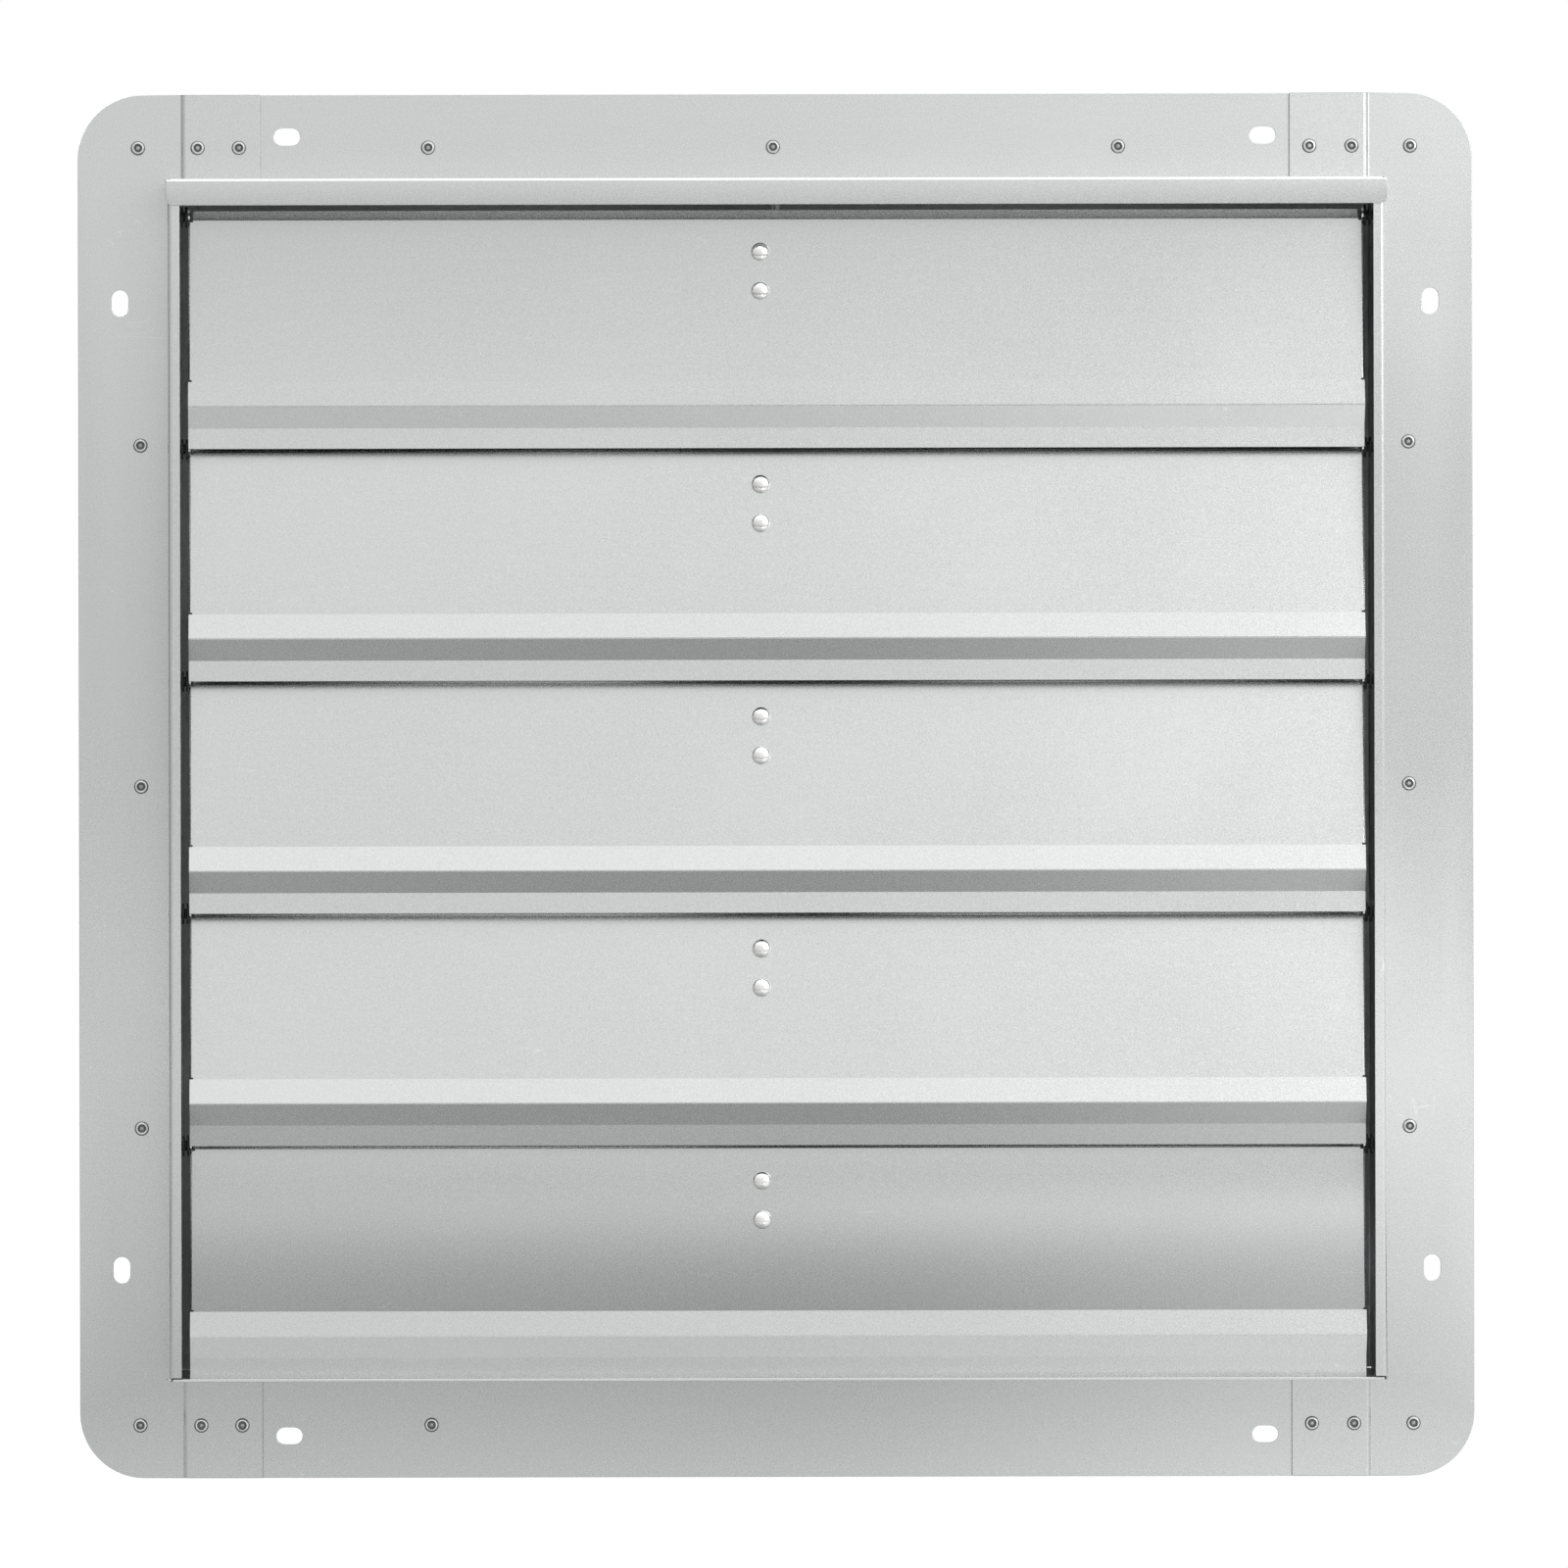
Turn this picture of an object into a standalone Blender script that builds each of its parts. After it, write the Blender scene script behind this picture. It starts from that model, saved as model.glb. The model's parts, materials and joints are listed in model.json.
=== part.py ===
"""Shutter exhaust fan for a square wall opening, in metres, +Z up.

The louvers face -Y and the fan blows from +Y to -Y. Y = 0 is the plane that rests on the wall.
The origin is the middle of the mounting flange in that plane.
"""

import math

import bmesh
import bpy
from mathutils import Matrix, Vector

# Fits
FIT = 0.0003                # gap between pieces that touch
RUNNING_FIT = 0.0004        # radial play of a journal in its hole
OVERRUN = 0.002             # how far a cutter passes the face it cuts
MERGE_DISTANCE = 0.000003   # corners nearer than this are one

# Sheet of the frame and of the housing
FRAME_SHEET = 0.0012
HOUSING_SHEET = 0.0012

# Mounting flange, as seen from the front
FLANGE_WIDTH = 0.625
FLANGE_HEIGHT = 0.620
FLANGE_CORNER_RADIUS = 0.029
LAP_INSET = 0.00575         # joggle of a corner lap inside the side of the box
LAP_LENGTH = 0.0354         # joggle to the end of the lap tab
JOGGLE_RUN = 0.0015

# Box that carries the louvers, in front of the flange
BOX_SIDE_MARGIN = 0.04075   # flange left beside the box
BOX_TOP_MARGIN = 0.0389     # flange left above the box
BOX_BOTTOM_MARGIN = 0.0444  # flange left under the box
BOX_REACH = 0.045           # front of the side lips ahead of the wall plane
LIP_WIDTH = 0.0056
HOOD_HEIGHT = 0.0120
HOOD_OVERHANG = 0.0006
HOOD_CORNER_RADIUS = 0.003
SILL_SETBACK = 0.001        # front edge of the sill behind the side lips

# Slots in the flange
SLOT_LENGTH = 0.0118
SLOT_WIDTH = 0.0076
SLOT_EDGE = 0.0188          # middle of a slot inside the near edge of the flange
LEVEL_SLOT_INSET = 0.0938   # middle of a level slot from the end of the flange
UPRIGHT_SLOT_INSET = 0.0933 # middle of an upright slot from the end of the flange
SLOT_RELIEF = 0.0015        # extra room round a slot in the sheet behind it

# Louvers: places are measured from the hinge axis, forward and up being positive
LOUVER_COUNT = 5
LOUVER_AXIS_DROP = 0.0166   # top hinge axis below the top of the box
LOUVER_SILL_ROOM = 0.0012   # room left under the row of louvers
LOUVER_LIP_ROOM = 0.00058   # bottom edge of a louver above the next hinge axis
LOUVER_AXIS_REACH = 0.024   # hinge axes ahead of the wall plane
LOUVER_SHEET = 0.0009
LOUVER_END_GAP = 0.00905    # outside of the box to the louver's end
LOUVER_TOP_DROP = 0.0022    # visible top of the face below the axis
LOUVER_KICK_HEIGHT = 0.0109
LOUVER_RETURN_HEIGHT = 0.0096
LOUVER_LIP_HEIGHT = 0.0087
LOUVER_TOP_FORWARD = 0.0015
LOUVER_FACE_LEAN = 0.0100
LOUVER_KICK_LEAN = 0.0045
LOUVER_RETURN_LEAN = 0.0075
LOUVER_LIP_LEAN = 0.0010
SHELF_BACK = 0.0060         # back of the top shelf behind the axis
UPSTAND_TOP = 0.0025        # top of the rear upstand above the axis
SHELF_NOTCH = 0.0015        # shelf ends short of the ears by this much
EAR_RADIUS = 0.0046
EAR_DROP = 0.020            # how far down the louver's end the ear is folded from
EAR_LEG = 0.014
EAR_FRONT_ANGLE = math.radians(190)
EAR_BACK_ANGLE = math.radians(45)

# Nylon pivot pins of the louvers
PIN_COLLAR_RADIUS = 0.0046
PIN_COLLAR_THICKNESS = 0.0010
PIN_NECK_RADIUS = 0.0022
PIN_NECK_LENGTH = 0.0010
PIN_JOURNAL_RADIUS = 0.0022
PIN_JOURNAL_PROUD = 0.0010  # end of the journal past the outside of the wall
PIN_TAIL_RADIUS = 0.0017
PIN_TAIL_LENGTH = 0.0030

# Link brackets, rivets, link pins and tie bar
RIVET_X = -0.0070
RIVET_DROPS = (0.0161, 0.0335)
RIVET_HEAD_RADIUS = 0.0041
RIVET_HEAD_HEIGHT = 0.0023
RIVET_CROWN_RADIUS = 0.0030
RIVET_CROWN_SHARE = 0.75     # height of the crown in the head
RIVET_SHANK_RADIUS = 0.0020
RIVET_TAIL_RADIUS = 0.0031
RIVET_TAIL_FLAT_RADIUS = 0.0022
RIVET_TAIL_HEIGHT = 0.0014
BRACKET_SHEET = 0.0012
BRACKET_HALF_WIDTH = 0.0060
BRACKET_TOP_DROP = 0.0100
BRACKET_FOOT_LENGTH = 0.0300
BRACKET_THROAT_BACK = 0.0120
BRACKET_EYE_RADIUS = 0.0050
BRACKET_EYE_START = math.radians(180)
BRACKET_EYE_END = math.radians(-20)
LINK_RADIUS = 0.0220        # hinge axis to link pin
LINK_ANGLE = math.radians(25)
LINK_PIN_RADIUS = 0.0021
LINK_HEAD_RADIUS = 0.0038
LINK_HEAD_HEIGHT = 0.0011
BAR_WIDTH = 0.0100
BAR_THICKNESS = 0.0020
BAR_END_RADIUS = 0.0045

# Housing behind the flange
HOUSING_DEPTH = 0.085
RIVET_FRAME_SIDE_MARGIN = 0.0235  # rivet flange inside the mounting flange, at the sides
RIVET_FRAME_END_MARGIN = 0.0210   # the same at the top and bottom
REAR_FLANGE_WIDTH = 0.0105

# Orifice panel with its drawn throat
ORIFICE_SHEET = 0.0012
THROAT_MARGIN = 0.01835     # narrowest panel left beside the throat
THROAT_DEPTH = 0.026
THROAT_BELL_RADIUS = 0.0050

# Motor straps
STRAP_THICKNESS = 0.0025
STRAP_WIDTH = 0.0250
STRAP_OFFSET = 0.0400       # middle of each strap above or below the fan axis
STRAP_SPAN_SETBACK = 0.0107 # rise from the feet to the span
STRAP_KNEE_MARGIN = 0.00125 # start of the riser outside the throat
STRAP_EDGE_MARGIN = 0.0020  # end of the foot inside the edge of the panel
STRAP_RISER_RUN = 0.0030

# Motor
MOTOR_RADIUS = 0.0600
MOTOR_BODY_LENGTH = 0.0400
MOTOR_FRONT_CAP_LENGTH = 0.0095
MOTOR_REAR_CAP_LENGTH = 0.0120
MOTOR_CAP_CHAMFER = 0.0080
MOTOR_FLANGE_STEP = 0.0020
MOTOR_BOSS_RADIUS = 0.0200
MOTOR_BORE_DEPTH = 0.0300   # how far the shaft reaches into the body

# Shaft and fan
SHAFT_RADIUS = 0.0060
SHAFT_TIP_CHAMFER = 0.0010
SHAFT_PROUD = 0.0040        # end of the shaft ahead of the hub
HUB_RADIUS = 0.0280
HUB_LENGTH = 0.0240
BLADE_COUNT = 3
BLADE_TIP_CLEARANCE = 0.0050
BLADE_STRAP_CLEARANCE = 0.003465  # rear edge of the blades ahead of the straps
BLADE_ROOT_RADIUS = 0.0550
BLADE_TIP_CHORD = 0.1780
BLADE_ROOT_CHORD = 0.0950
BLADE_SHEET = 0.0016
BLADE_CAMBER = 0.0060
BLADE_TIP_PITCH = math.radians(15)
BLADE_ROOT_PITCH = math.radians(27)
ARM_CHORD = 0.0400
ARM_INNER_RADIUS = 0.0150
ARM_OUTER_RADIUS = 0.1100
ARM_SHEET = 0.0025

# Wire guard
GUARD_WIRE_RADIUS = 0.0016
GUARD_RIM_WIRE_RADIUS = 0.0020
GUARD_RIM_LAP = 0.0120      # rim of the guard outside the throat
GUARD_INNER_RADIUS = 0.0300
GUARD_MOTOR_CLEARANCE = 0.0072    # middle of the wires behind the motor
GUARD_RING_STEP = 0.0400
GUARD_SPOKE_COUNT = 12
GUARD_WELD_OFFSET = 0.0008  # spokes sit this much behind the rings

# Terminal box, its lid and the cable gland
TERMINAL_WIDTH = 0.0600
TERMINAL_LENGTH = 0.0320
TERMINAL_HEIGHT = 0.0200    # above the motor body
TERMINAL_WALL = 0.0020
TERMINAL_SKIRT = 0.0060     # how far the box reaches down the motor's flanks
LID_THICKNESS = 0.0022
LID_OVERHANG = 0.0010
GLAND_THREAD_RADIUS = 0.0050
GLAND_NUT_RADIUS = 0.0080
GLAND_NUT_LENGTH = 0.0060
GLAND_TIP_LENGTH = 0.0080
GLAND_TIP_RADIUS = 0.0062
GLAND_BORE_RADIUS = 0.0033
GLAND_NECK_LENGTH = 0.0050

# Numbers of sides on round shapes
SMALL_SIDES = 10
PIN_SIDES = 8
MOTOR_SIDES = 32
THROAT_SIDES = 48
GUARD_SIDES = 32
WIRE_SIDES = 4
CORNER_STEPS = 5
BELL_STEPS = 3
BLADE_ROWS = 4
BLADE_COLUMNS = 6
SMOOTH_ANGLE = math.radians(35)

# Profile of the guard from its rim to its middle: shares of its radius and of its depth
GUARD_PROFILE_SHARES = (
    (1.000, 0.000),
    (0.965, 0.240),
    (0.890, 0.500),
    (0.760, 0.730),
    (0.600, 0.880),
    (0.400, 0.970),
    (0.000, 1.000),
)

# Places that follow from the sizes above
HALF_WIDTH = FLANGE_WIDTH / 2
HALF_HEIGHT = FLANGE_HEIGHT / 2
BOX_SIDE = HALF_WIDTH - BOX_SIDE_MARGIN
BOX_TOP = HALF_HEIGHT - BOX_TOP_MARGIN
BOX_BOTTOM = -HALF_HEIGHT + BOX_BOTTOM_MARGIN
BOX_WIDTH = BOX_SIDE + BOX_SIDE
BOX_HEIGHT = BOX_TOP - BOX_BOTTOM
BOX_RISE = (BOX_TOP + BOX_BOTTOM) / 2
LAP_LINE = BOX_SIDE - LAP_INSET
LAP_END = LAP_LINE - LAP_LENGTH
SLOT_X = HALF_WIDTH - LEVEL_SLOT_INSET
SLOT_Z = HALF_HEIGHT - UPRIGHT_SLOT_INSET
LEVEL_SLOT_LINE = HALF_HEIGHT - SLOT_EDGE
UPRIGHT_SLOT_LINE = HALF_WIDTH - SLOT_EDGE
LOUVER_TOP_AXIS = BOX_TOP - LOUVER_AXIS_DROP
LOUVER_PITCH = (BOX_HEIGHT - LOUVER_AXIS_DROP - LOUVER_SILL_ROOM) / LOUVER_COUNT
LOUVER_LENGTH = BOX_WIDTH - 2 * LOUVER_END_GAP
LOUVER_FOLDS_HEIGHT = LOUVER_KICK_HEIGHT + LOUVER_RETURN_HEIGHT + LOUVER_LIP_HEIGHT
LOUVER_FACE_HEIGHT = LOUVER_PITCH - LOUVER_LIP_ROOM - LOUVER_TOP_DROP - LOUVER_FOLDS_HEIGHT
RIVET_FRAME_WIDTH = FLANGE_WIDTH - 2 * RIVET_FRAME_SIDE_MARGIN
RIVET_FRAME_HEIGHT = FLANGE_HEIGHT - 2 * RIVET_FRAME_END_MARGIN
THROAT_RADIUS = min(BOX_WIDTH, BOX_HEIGHT) / 2 - THROAT_MARGIN
BLADE_TIP_RADIUS = THROAT_RADIUS - BLADE_TIP_CLEARANCE
GUARD_RIM_RADIUS = THROAT_RADIUS + GUARD_RIM_LAP
HOUSING_FLANGE_Y = -HOUSING_SHEET / 2
FLANGE_Y = -HOUSING_SHEET - FIT - FRAME_SHEET / 2
LAP_Y = FLANGE_Y - FRAME_SHEET - FIT
LIP_Y = -BOX_REACH + FRAME_SHEET / 2
HOOD_Y = LIP_Y - FRAME_SHEET - FIT
AXIS_Y = -LOUVER_AXIS_REACH
PANEL_Y = HOUSING_DEPTH + FIT + ORIFICE_SHEET / 2
PANEL_REAR = PANEL_Y + ORIFICE_SHEET / 2
STRAP_FOOT_Y = PANEL_REAR + FIT + STRAP_THICKNESS / 2
STRAP_SPAN_Y = STRAP_FOOT_Y + STRAP_SPAN_SETBACK
MOTOR_FRONT = STRAP_SPAN_Y + STRAP_THICKNESS / 2 + FIT
MOTOR_BODY_FRONT = MOTOR_FRONT + MOTOR_FRONT_CAP_LENGTH + FIT
MOTOR_BODY_REAR = MOTOR_BODY_FRONT + MOTOR_BODY_LENGTH
MOTOR_REAR = MOTOR_BODY_REAR + FIT + MOTOR_REAR_CAP_LENGTH
BLADE_REAR = STRAP_SPAN_Y - STRAP_THICKNESS / 2 - BLADE_STRAP_CLEARANCE
HUB_CENTRE = BLADE_REAR - BLADE_TIP_CHORD / 2 * math.sin(BLADE_TIP_PITCH)
GUARD_RIM_Y = STRAP_FOOT_Y + STRAP_THICKNESS / 2 + FIT + GUARD_RIM_WIRE_RADIUS
GUARD_DEPTH = MOTOR_REAR + GUARD_MOTOR_CLEARANCE - GUARD_RIM_Y
BORE_RADIUS = SHAFT_RADIUS + RUNNING_FIT


def clear_scene():
    """Empty the file, the startup cube included."""
    for item in list(bpy.data.objects):
        bpy.data.objects.remove(item)


def metal(name, colour, roughness, metallic=1.0):
    """Principled material of one colour."""
    material = bpy.data.materials.new(name)
    material.use_nodes = True
    shader = material.node_tree.nodes["Principled BSDF"]
    shader.inputs["Base Color"].default_value = (*colour, 1.0)
    shader.inputs["Roughness"].default_value = roughness
    shader.inputs["Metallic"].default_value = metallic
    return material


def frame_material():
    return metal("frame_galvanised", (0.62, 0.63, 0.63), 0.38)


def louver_material():
    return metal("louver_aluminium", (0.70, 0.71, 0.71), 0.36)


def zinc_material():
    return metal("link_zinc", (0.55, 0.56, 0.57), 0.40)


def rivet_material():
    return metal("rivet_bright", (0.80, 0.80, 0.80), 0.12)


def nylon_material():
    return metal("pivot_nylon", (0.02, 0.02, 0.02), 0.45, 0.0)


def housing_material():
    return metal("housing_galvanised", (0.58, 0.59, 0.60), 0.42)


def blade_material():
    return metal("blade_aluminium", (0.72, 0.72, 0.73), 0.34)


def motor_material():
    return metal("motor_black", (0.03, 0.03, 0.035), 0.45, 0.3)


def guard_material():
    return metal("guard_black", (0.02, 0.02, 0.022), 0.40, 0.2)


def steel_material():
    return metal("shaft_steel", (0.55, 0.55, 0.56), 0.25)


def plastic_material():
    return metal("terminal_plastic", (0.05, 0.05, 0.05), 0.50, 0.0)


def add_object(name, bm, material, location=(0.0, 0.0, 0.0)):
    """Object of a bmesh, whose faces are turned to point out."""
    bmesh.ops.recalc_face_normals(bm, faces=bm.faces)
    mesh = bpy.data.meshes.new(name)
    bm.to_mesh(mesh)
    bm.free()
    item = bpy.data.objects.new(name, mesh)
    item.location = location
    if material:
        mesh.materials.append(material)
    bpy.context.scene.collection.objects.link(item)
    return item


def add_copy(name, original, location, rotation=(0.0, 0.0, 0.0)):
    """Object that shares the original's mesh."""
    item = bpy.data.objects.new(name, original.data)
    item.location = location
    item.rotation_euler = rotation
    bpy.context.scene.collection.objects.link(item)
    return item


def apply_modifiers(item):
    """Keep the mesh that the modifiers make of the object's own."""
    depsgraph = bpy.context.evaluated_depsgraph_get()
    mesh = bpy.data.meshes.new_from_object(item.evaluated_get(depsgraph))
    item.modifiers.clear()
    item.data = mesh


def combine(item, tools, operation):
    """Boolean of the object with each tool, which it uses up."""
    for tool in tools:
        modifier = item.modifiers.new(operation.title(), "BOOLEAN")
        modifier.operation = operation
        modifier.solver = "EXACT"
        modifier.object = tool
    apply_modifiers(item)
    for tool in tools:
        bpy.data.objects.remove(tool)


def smooth(item):
    """Shade the round faces smooth and leave the corners sharp."""
    item.data.shade_smooth()
    item.data.set_sharp_from_angle(angle=SMOOTH_ANGLE)


def add_panels(bm, panels):
    """Flat panels that share the corners where their points are the same."""
    corners = {}
    for panel in panels:
        loop = []
        for point in panel:
            key = tuple(round(value / MERGE_DISTANCE) for value in point)
            if key not in corners:
                corners[key] = bm.verts.new(point)
            loop.append(corners[key])
        bm.faces.new(loop)


def bent_sheet(name, panels, thickness, material, location=(0.0, 0.0, 0.0)):
    """Folded sheet: panels on its middle plane, thickened to both sides."""
    bm = bmesh.new()
    add_panels(bm, panels)
    item = add_object(name, bm, material, location)
    modifier = item.modifiers.new("Sheet", "SOLIDIFY")
    modifier.solidify_mode = "NON_MANIFOLD"
    modifier.nonmanifold_thickness_mode = "CONSTRAINTS"
    modifier.nonmanifold_boundary_mode = "NONE"
    modifier.nonmanifold_merge_threshold = MERGE_DISTANCE
    modifier.thickness = thickness
    modifier.offset = 0.0
    apply_modifiers(item)
    return item


def prism(name, outline, low, high, place, material=None):
    """Outline pulled from low to high; place turns (a, b, height) into a point."""
    bm = bmesh.new()
    rings = [[bm.verts.new(place(a, b, height)) for a, b in outline] for height in (low, high)]
    count = len(outline)
    for index in range(count):
        following = (index + 1) % count
        bm.faces.new((rings[0][index], rings[0][following], rings[1][following], rings[1][index]))
    bm.faces.new(rings[0])
    bm.faces.new(rings[1])
    return add_object(name, bm, material)


def along_x(a, b, height):
    return (height, a, b)


def along_y(a, b, height):
    return (a, height, b)


def along_z(a, b, height):
    return (a, b, height)


def rod(name, start, end, radius, sides, material=None):
    """Straight cylinder between two points."""
    start = Vector(start)
    reach = Vector(end) - start
    turn = reach.to_track_quat("Z", "Y").to_matrix().to_4x4()
    bm = bmesh.new()
    bmesh.ops.create_cone(
        bm,
        cap_ends=True,
        segments=sides,
        radius1=radius,
        radius2=radius,
        depth=reach.length,
        matrix=Matrix.Translation(start + reach / 2) @ turn,
    )
    return add_object(name, bm, material)


def turned(name, profile, sides, material, location=(0.0, 0.0, 0.0), closed=False):
    """Profile of (radius, height) turned round the Y axis; a closed one keeps a bore."""
    bm = bmesh.new()
    rings = []
    for radius, height in profile:
        if radius == 0.0:
            rings.append([bm.verts.new((0.0, height, 0.0))] * sides)
            continue
        ring = []
        for index in range(sides):
            angle = 2 * math.pi * index / sides
            ring.append(bm.verts.new((radius * math.cos(angle), height, radius * math.sin(angle))))
        rings.append(ring)
    pairs = list(zip(rings, rings[1:]))
    if closed:
        pairs.append((rings[-1], rings[0]))
    for near, far in pairs:
        for index in range(sides):
            following = (index + 1) % sides
            loop = [near[index], near[following], far[following], far[index]]
            corners = list(dict.fromkeys(loop))
            bm.faces.new(corners)
    item = add_object(name, bm, material, location)
    smooth(item)
    return item


def arc(centre, radius, start, end, steps):
    """Points of a circle's arc between two angles."""
    points = []
    for index in range(steps + 1):
        angle = start + (end - start) * index / steps
        points.append((centre[0] + radius * math.cos(angle), centre[1] + radius * math.sin(angle)))
    return points


def slot_outline(centre, upright, relief=0.0):
    """Outline of one flange slot, rounder and larger by the relief."""
    radius = SLOT_WIDTH / 2 + relief
    straight = (SLOT_LENGTH - SLOT_WIDTH) / 2
    half = math.pi / 2
    right = arc((straight, 0.0), radius, -half, half, CORNER_STEPS)
    left = arc((-straight, 0.0), radius, half, 3 * half, CORNER_STEPS)
    points = right + left
    if upright:
        points = [(-b, a) for a, b in points]
    return [(centre[0] + a, centre[1] + b) for a, b in points]


def slot_cutters(places, upright, relief=0.0):
    """One cutter through the flange for each slot."""
    cutters = []
    for place in places:
        outline = slot_outline(place, upright, relief)
        low = LAP_Y - FRAME_SHEET / 2 - OVERRUN
        cutters.append(prism("slot_cutter", outline, low, OVERRUN, along_y))
    return cutters


def level_slots(side):
    """Centres of the two level slots above (1) or below (-1) the box."""
    return [(end * SLOT_X, side * LEVEL_SLOT_LINE) for end in (-1, 1)]


def upright_slots(side):
    """Centres of the two upright slots right (1) or left (-1) of the box."""
    return [(side * UPRIGHT_SLOT_LINE, end * SLOT_Z) for end in (-1, 1)]


def louver_axes():
    """Height of each hinge axis, from the top louver down."""
    return [LOUVER_TOP_AXIS - LOUVER_PITCH * index for index in range(LOUVER_COUNT)]


def corner_panels(end, side, wall_x):
    """Rounded corner of a side piece and its joggled lap tab, at the top (1) or bottom (-1)."""
    outer_z = end * HALF_HEIGHT
    root_z = BOX_TOP if end > 0 else BOX_BOTTOM
    inner_z = root_z + end * FIT
    round_x = HALF_WIDTH - FLANGE_CORNER_RADIUS
    round_z = HALF_HEIGHT - FLANGE_CORNER_RADIUS
    curve = arc((round_x, round_z), FLANGE_CORNER_RADIUS, 0.0, math.pi / 2, CORNER_STEPS)
    flat = [(side * a, FLANGE_Y, end * b) for a, b in curve]
    flat += [(side * wall_x, FLANGE_Y, outer_z), (side * wall_x, FLANGE_Y, inner_z)]
    flat += [(side * wall_x, FLANGE_Y, root_z), (side * HALF_WIDTH, FLANGE_Y, root_z)]
    joggle_x = LAP_LINE - JOGGLE_RUN
    stops = [(wall_x, FLANGE_Y), (LAP_LINE, FLANGE_Y), (joggle_x, LAP_Y), (LAP_END, LAP_Y)]
    panels = [flat]
    for (near_x, near_y), (far_x, far_y) in zip(stops, stops[1:]):
        panels.append([
            (side * near_x, near_y, inner_z),
            (side * near_x, near_y, outer_z),
            (side * far_x, far_y, outer_z),
            (side * far_x, far_y, inner_z),
        ])
    return panels


def frame_side(name, side, material):
    """Left (-1) or right (1) piece: flange with corner laps, side wall and front lip."""
    wall_x = BOX_SIDE - FRAME_SHEET / 2
    lip_x = BOX_SIDE - LIP_WIDTH
    lip_low = BOX_BOTTOM + FRAME_SHEET + FIT
    lip_high = BOX_TOP - FRAME_SHEET - FIT
    panels = corner_panels(1, side, wall_x) + corner_panels(-1, side, wall_x)
    panels.append([
        (side * HALF_WIDTH, FLANGE_Y, BOX_BOTTOM),
        (side * wall_x, FLANGE_Y, BOX_BOTTOM),
        (side * wall_x, FLANGE_Y, BOX_TOP),
        (side * HALF_WIDTH, FLANGE_Y, BOX_TOP),
    ])
    panels.append([
        (side * wall_x, FLANGE_Y, BOX_BOTTOM),
        (side * wall_x, LIP_Y, BOX_BOTTOM),
        (side * wall_x, LIP_Y, lip_low),
        (side * wall_x, LIP_Y, lip_high),
        (side * wall_x, LIP_Y, BOX_TOP),
        (side * wall_x, FLANGE_Y, BOX_TOP),
    ])
    panels.append([
        (side * wall_x, LIP_Y, lip_low),
        (side * lip_x, LIP_Y, lip_low),
        (side * lip_x, LIP_Y, lip_high),
        (side * wall_x, LIP_Y, lip_high),
    ])
    item = bent_sheet(name, panels, FRAME_SHEET, material)
    cutters = slot_cutters(upright_slots(side), True)
    for height in louver_axes():
        start = (side * (wall_x - OVERRUN), AXIS_Y, height)
        end = (side * (wall_x + OVERRUN), AXIS_Y, height)
        radius = PIN_JOURNAL_RADIUS + RUNNING_FIT
        cutters.append(rod("journal_cutter", start, end, radius, PIN_SIDES))
    combine(item, cutters, "DIFFERENCE")
    return item


def level_panels(end, wall_y, wall_half):
    """Flange strip and wall of the top (1) or bottom (-1) piece, with the wall's front at wall_y."""
    strip = LAP_LINE - JOGGLE_RUN - FRAME_SHEET
    wall_z = BOX_TOP - FRAME_SHEET / 2 if end > 0 else BOX_BOTTOM + FRAME_SHEET / 2
    flange = [
        (-strip, FLANGE_Y, end * HALF_HEIGHT),
        (strip, FLANGE_Y, end * HALF_HEIGHT),
        (strip, FLANGE_Y, wall_z),
        (-strip, FLANGE_Y, wall_z),
    ]
    wall = [
        (-wall_half, FLANGE_Y, wall_z),
        (-strip, FLANGE_Y, wall_z),
        (strip, FLANGE_Y, wall_z),
        (wall_half, FLANGE_Y, wall_z),
        (wall_half, wall_y, wall_z),
        (-wall_half, wall_y, wall_z),
    ]
    return flange, wall, wall_z


def frame_top(material):
    """Top piece: flange strip, top wall and the hood that hangs over the side lips."""
    wall_half = BOX_SIDE - FRAME_SHEET - FIT
    flange, wall, wall_z = level_panels(1, HOOD_Y, wall_half)
    hood_half = BOX_SIDE + HOOD_OVERHANG
    low = BOX_TOP - HOOD_HEIGHT
    centre = (hood_half - HOOD_CORNER_RADIUS, low + HOOD_CORNER_RADIUS)
    curve = arc(centre, HOOD_CORNER_RADIUS, -math.pi / 2, 0.0, CORNER_STEPS)
    right = [(a, HOOD_Y, b) for a, b in curve]
    left = [(-a, HOOD_Y, b) for a, b in reversed(curve)]
    hood = [(-hood_half, HOOD_Y, wall_z)]
    hood += left
    hood += right
    hood += [(hood_half, HOOD_Y, wall_z), (wall_half, HOOD_Y, wall_z), (-wall_half, HOOD_Y, wall_z)]
    item = bent_sheet("frame_top", [flange, wall, hood], FRAME_SHEET, material)
    combine(item, slot_cutters(level_slots(1), False), "DIFFERENCE")
    return item


def frame_bottom(material):
    """Bottom piece: flange strip and the sill under the louvers."""
    front = -BOX_REACH + SILL_SETBACK
    flange, wall, _ = level_panels(-1, front, BOX_SIDE - FRAME_SHEET - FIT)
    item = bent_sheet("frame_bottom", [flange, wall], FRAME_SHEET, material)
    combine(item, slot_cutters(level_slots(-1), False), "DIFFERENCE")
    return item


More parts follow.
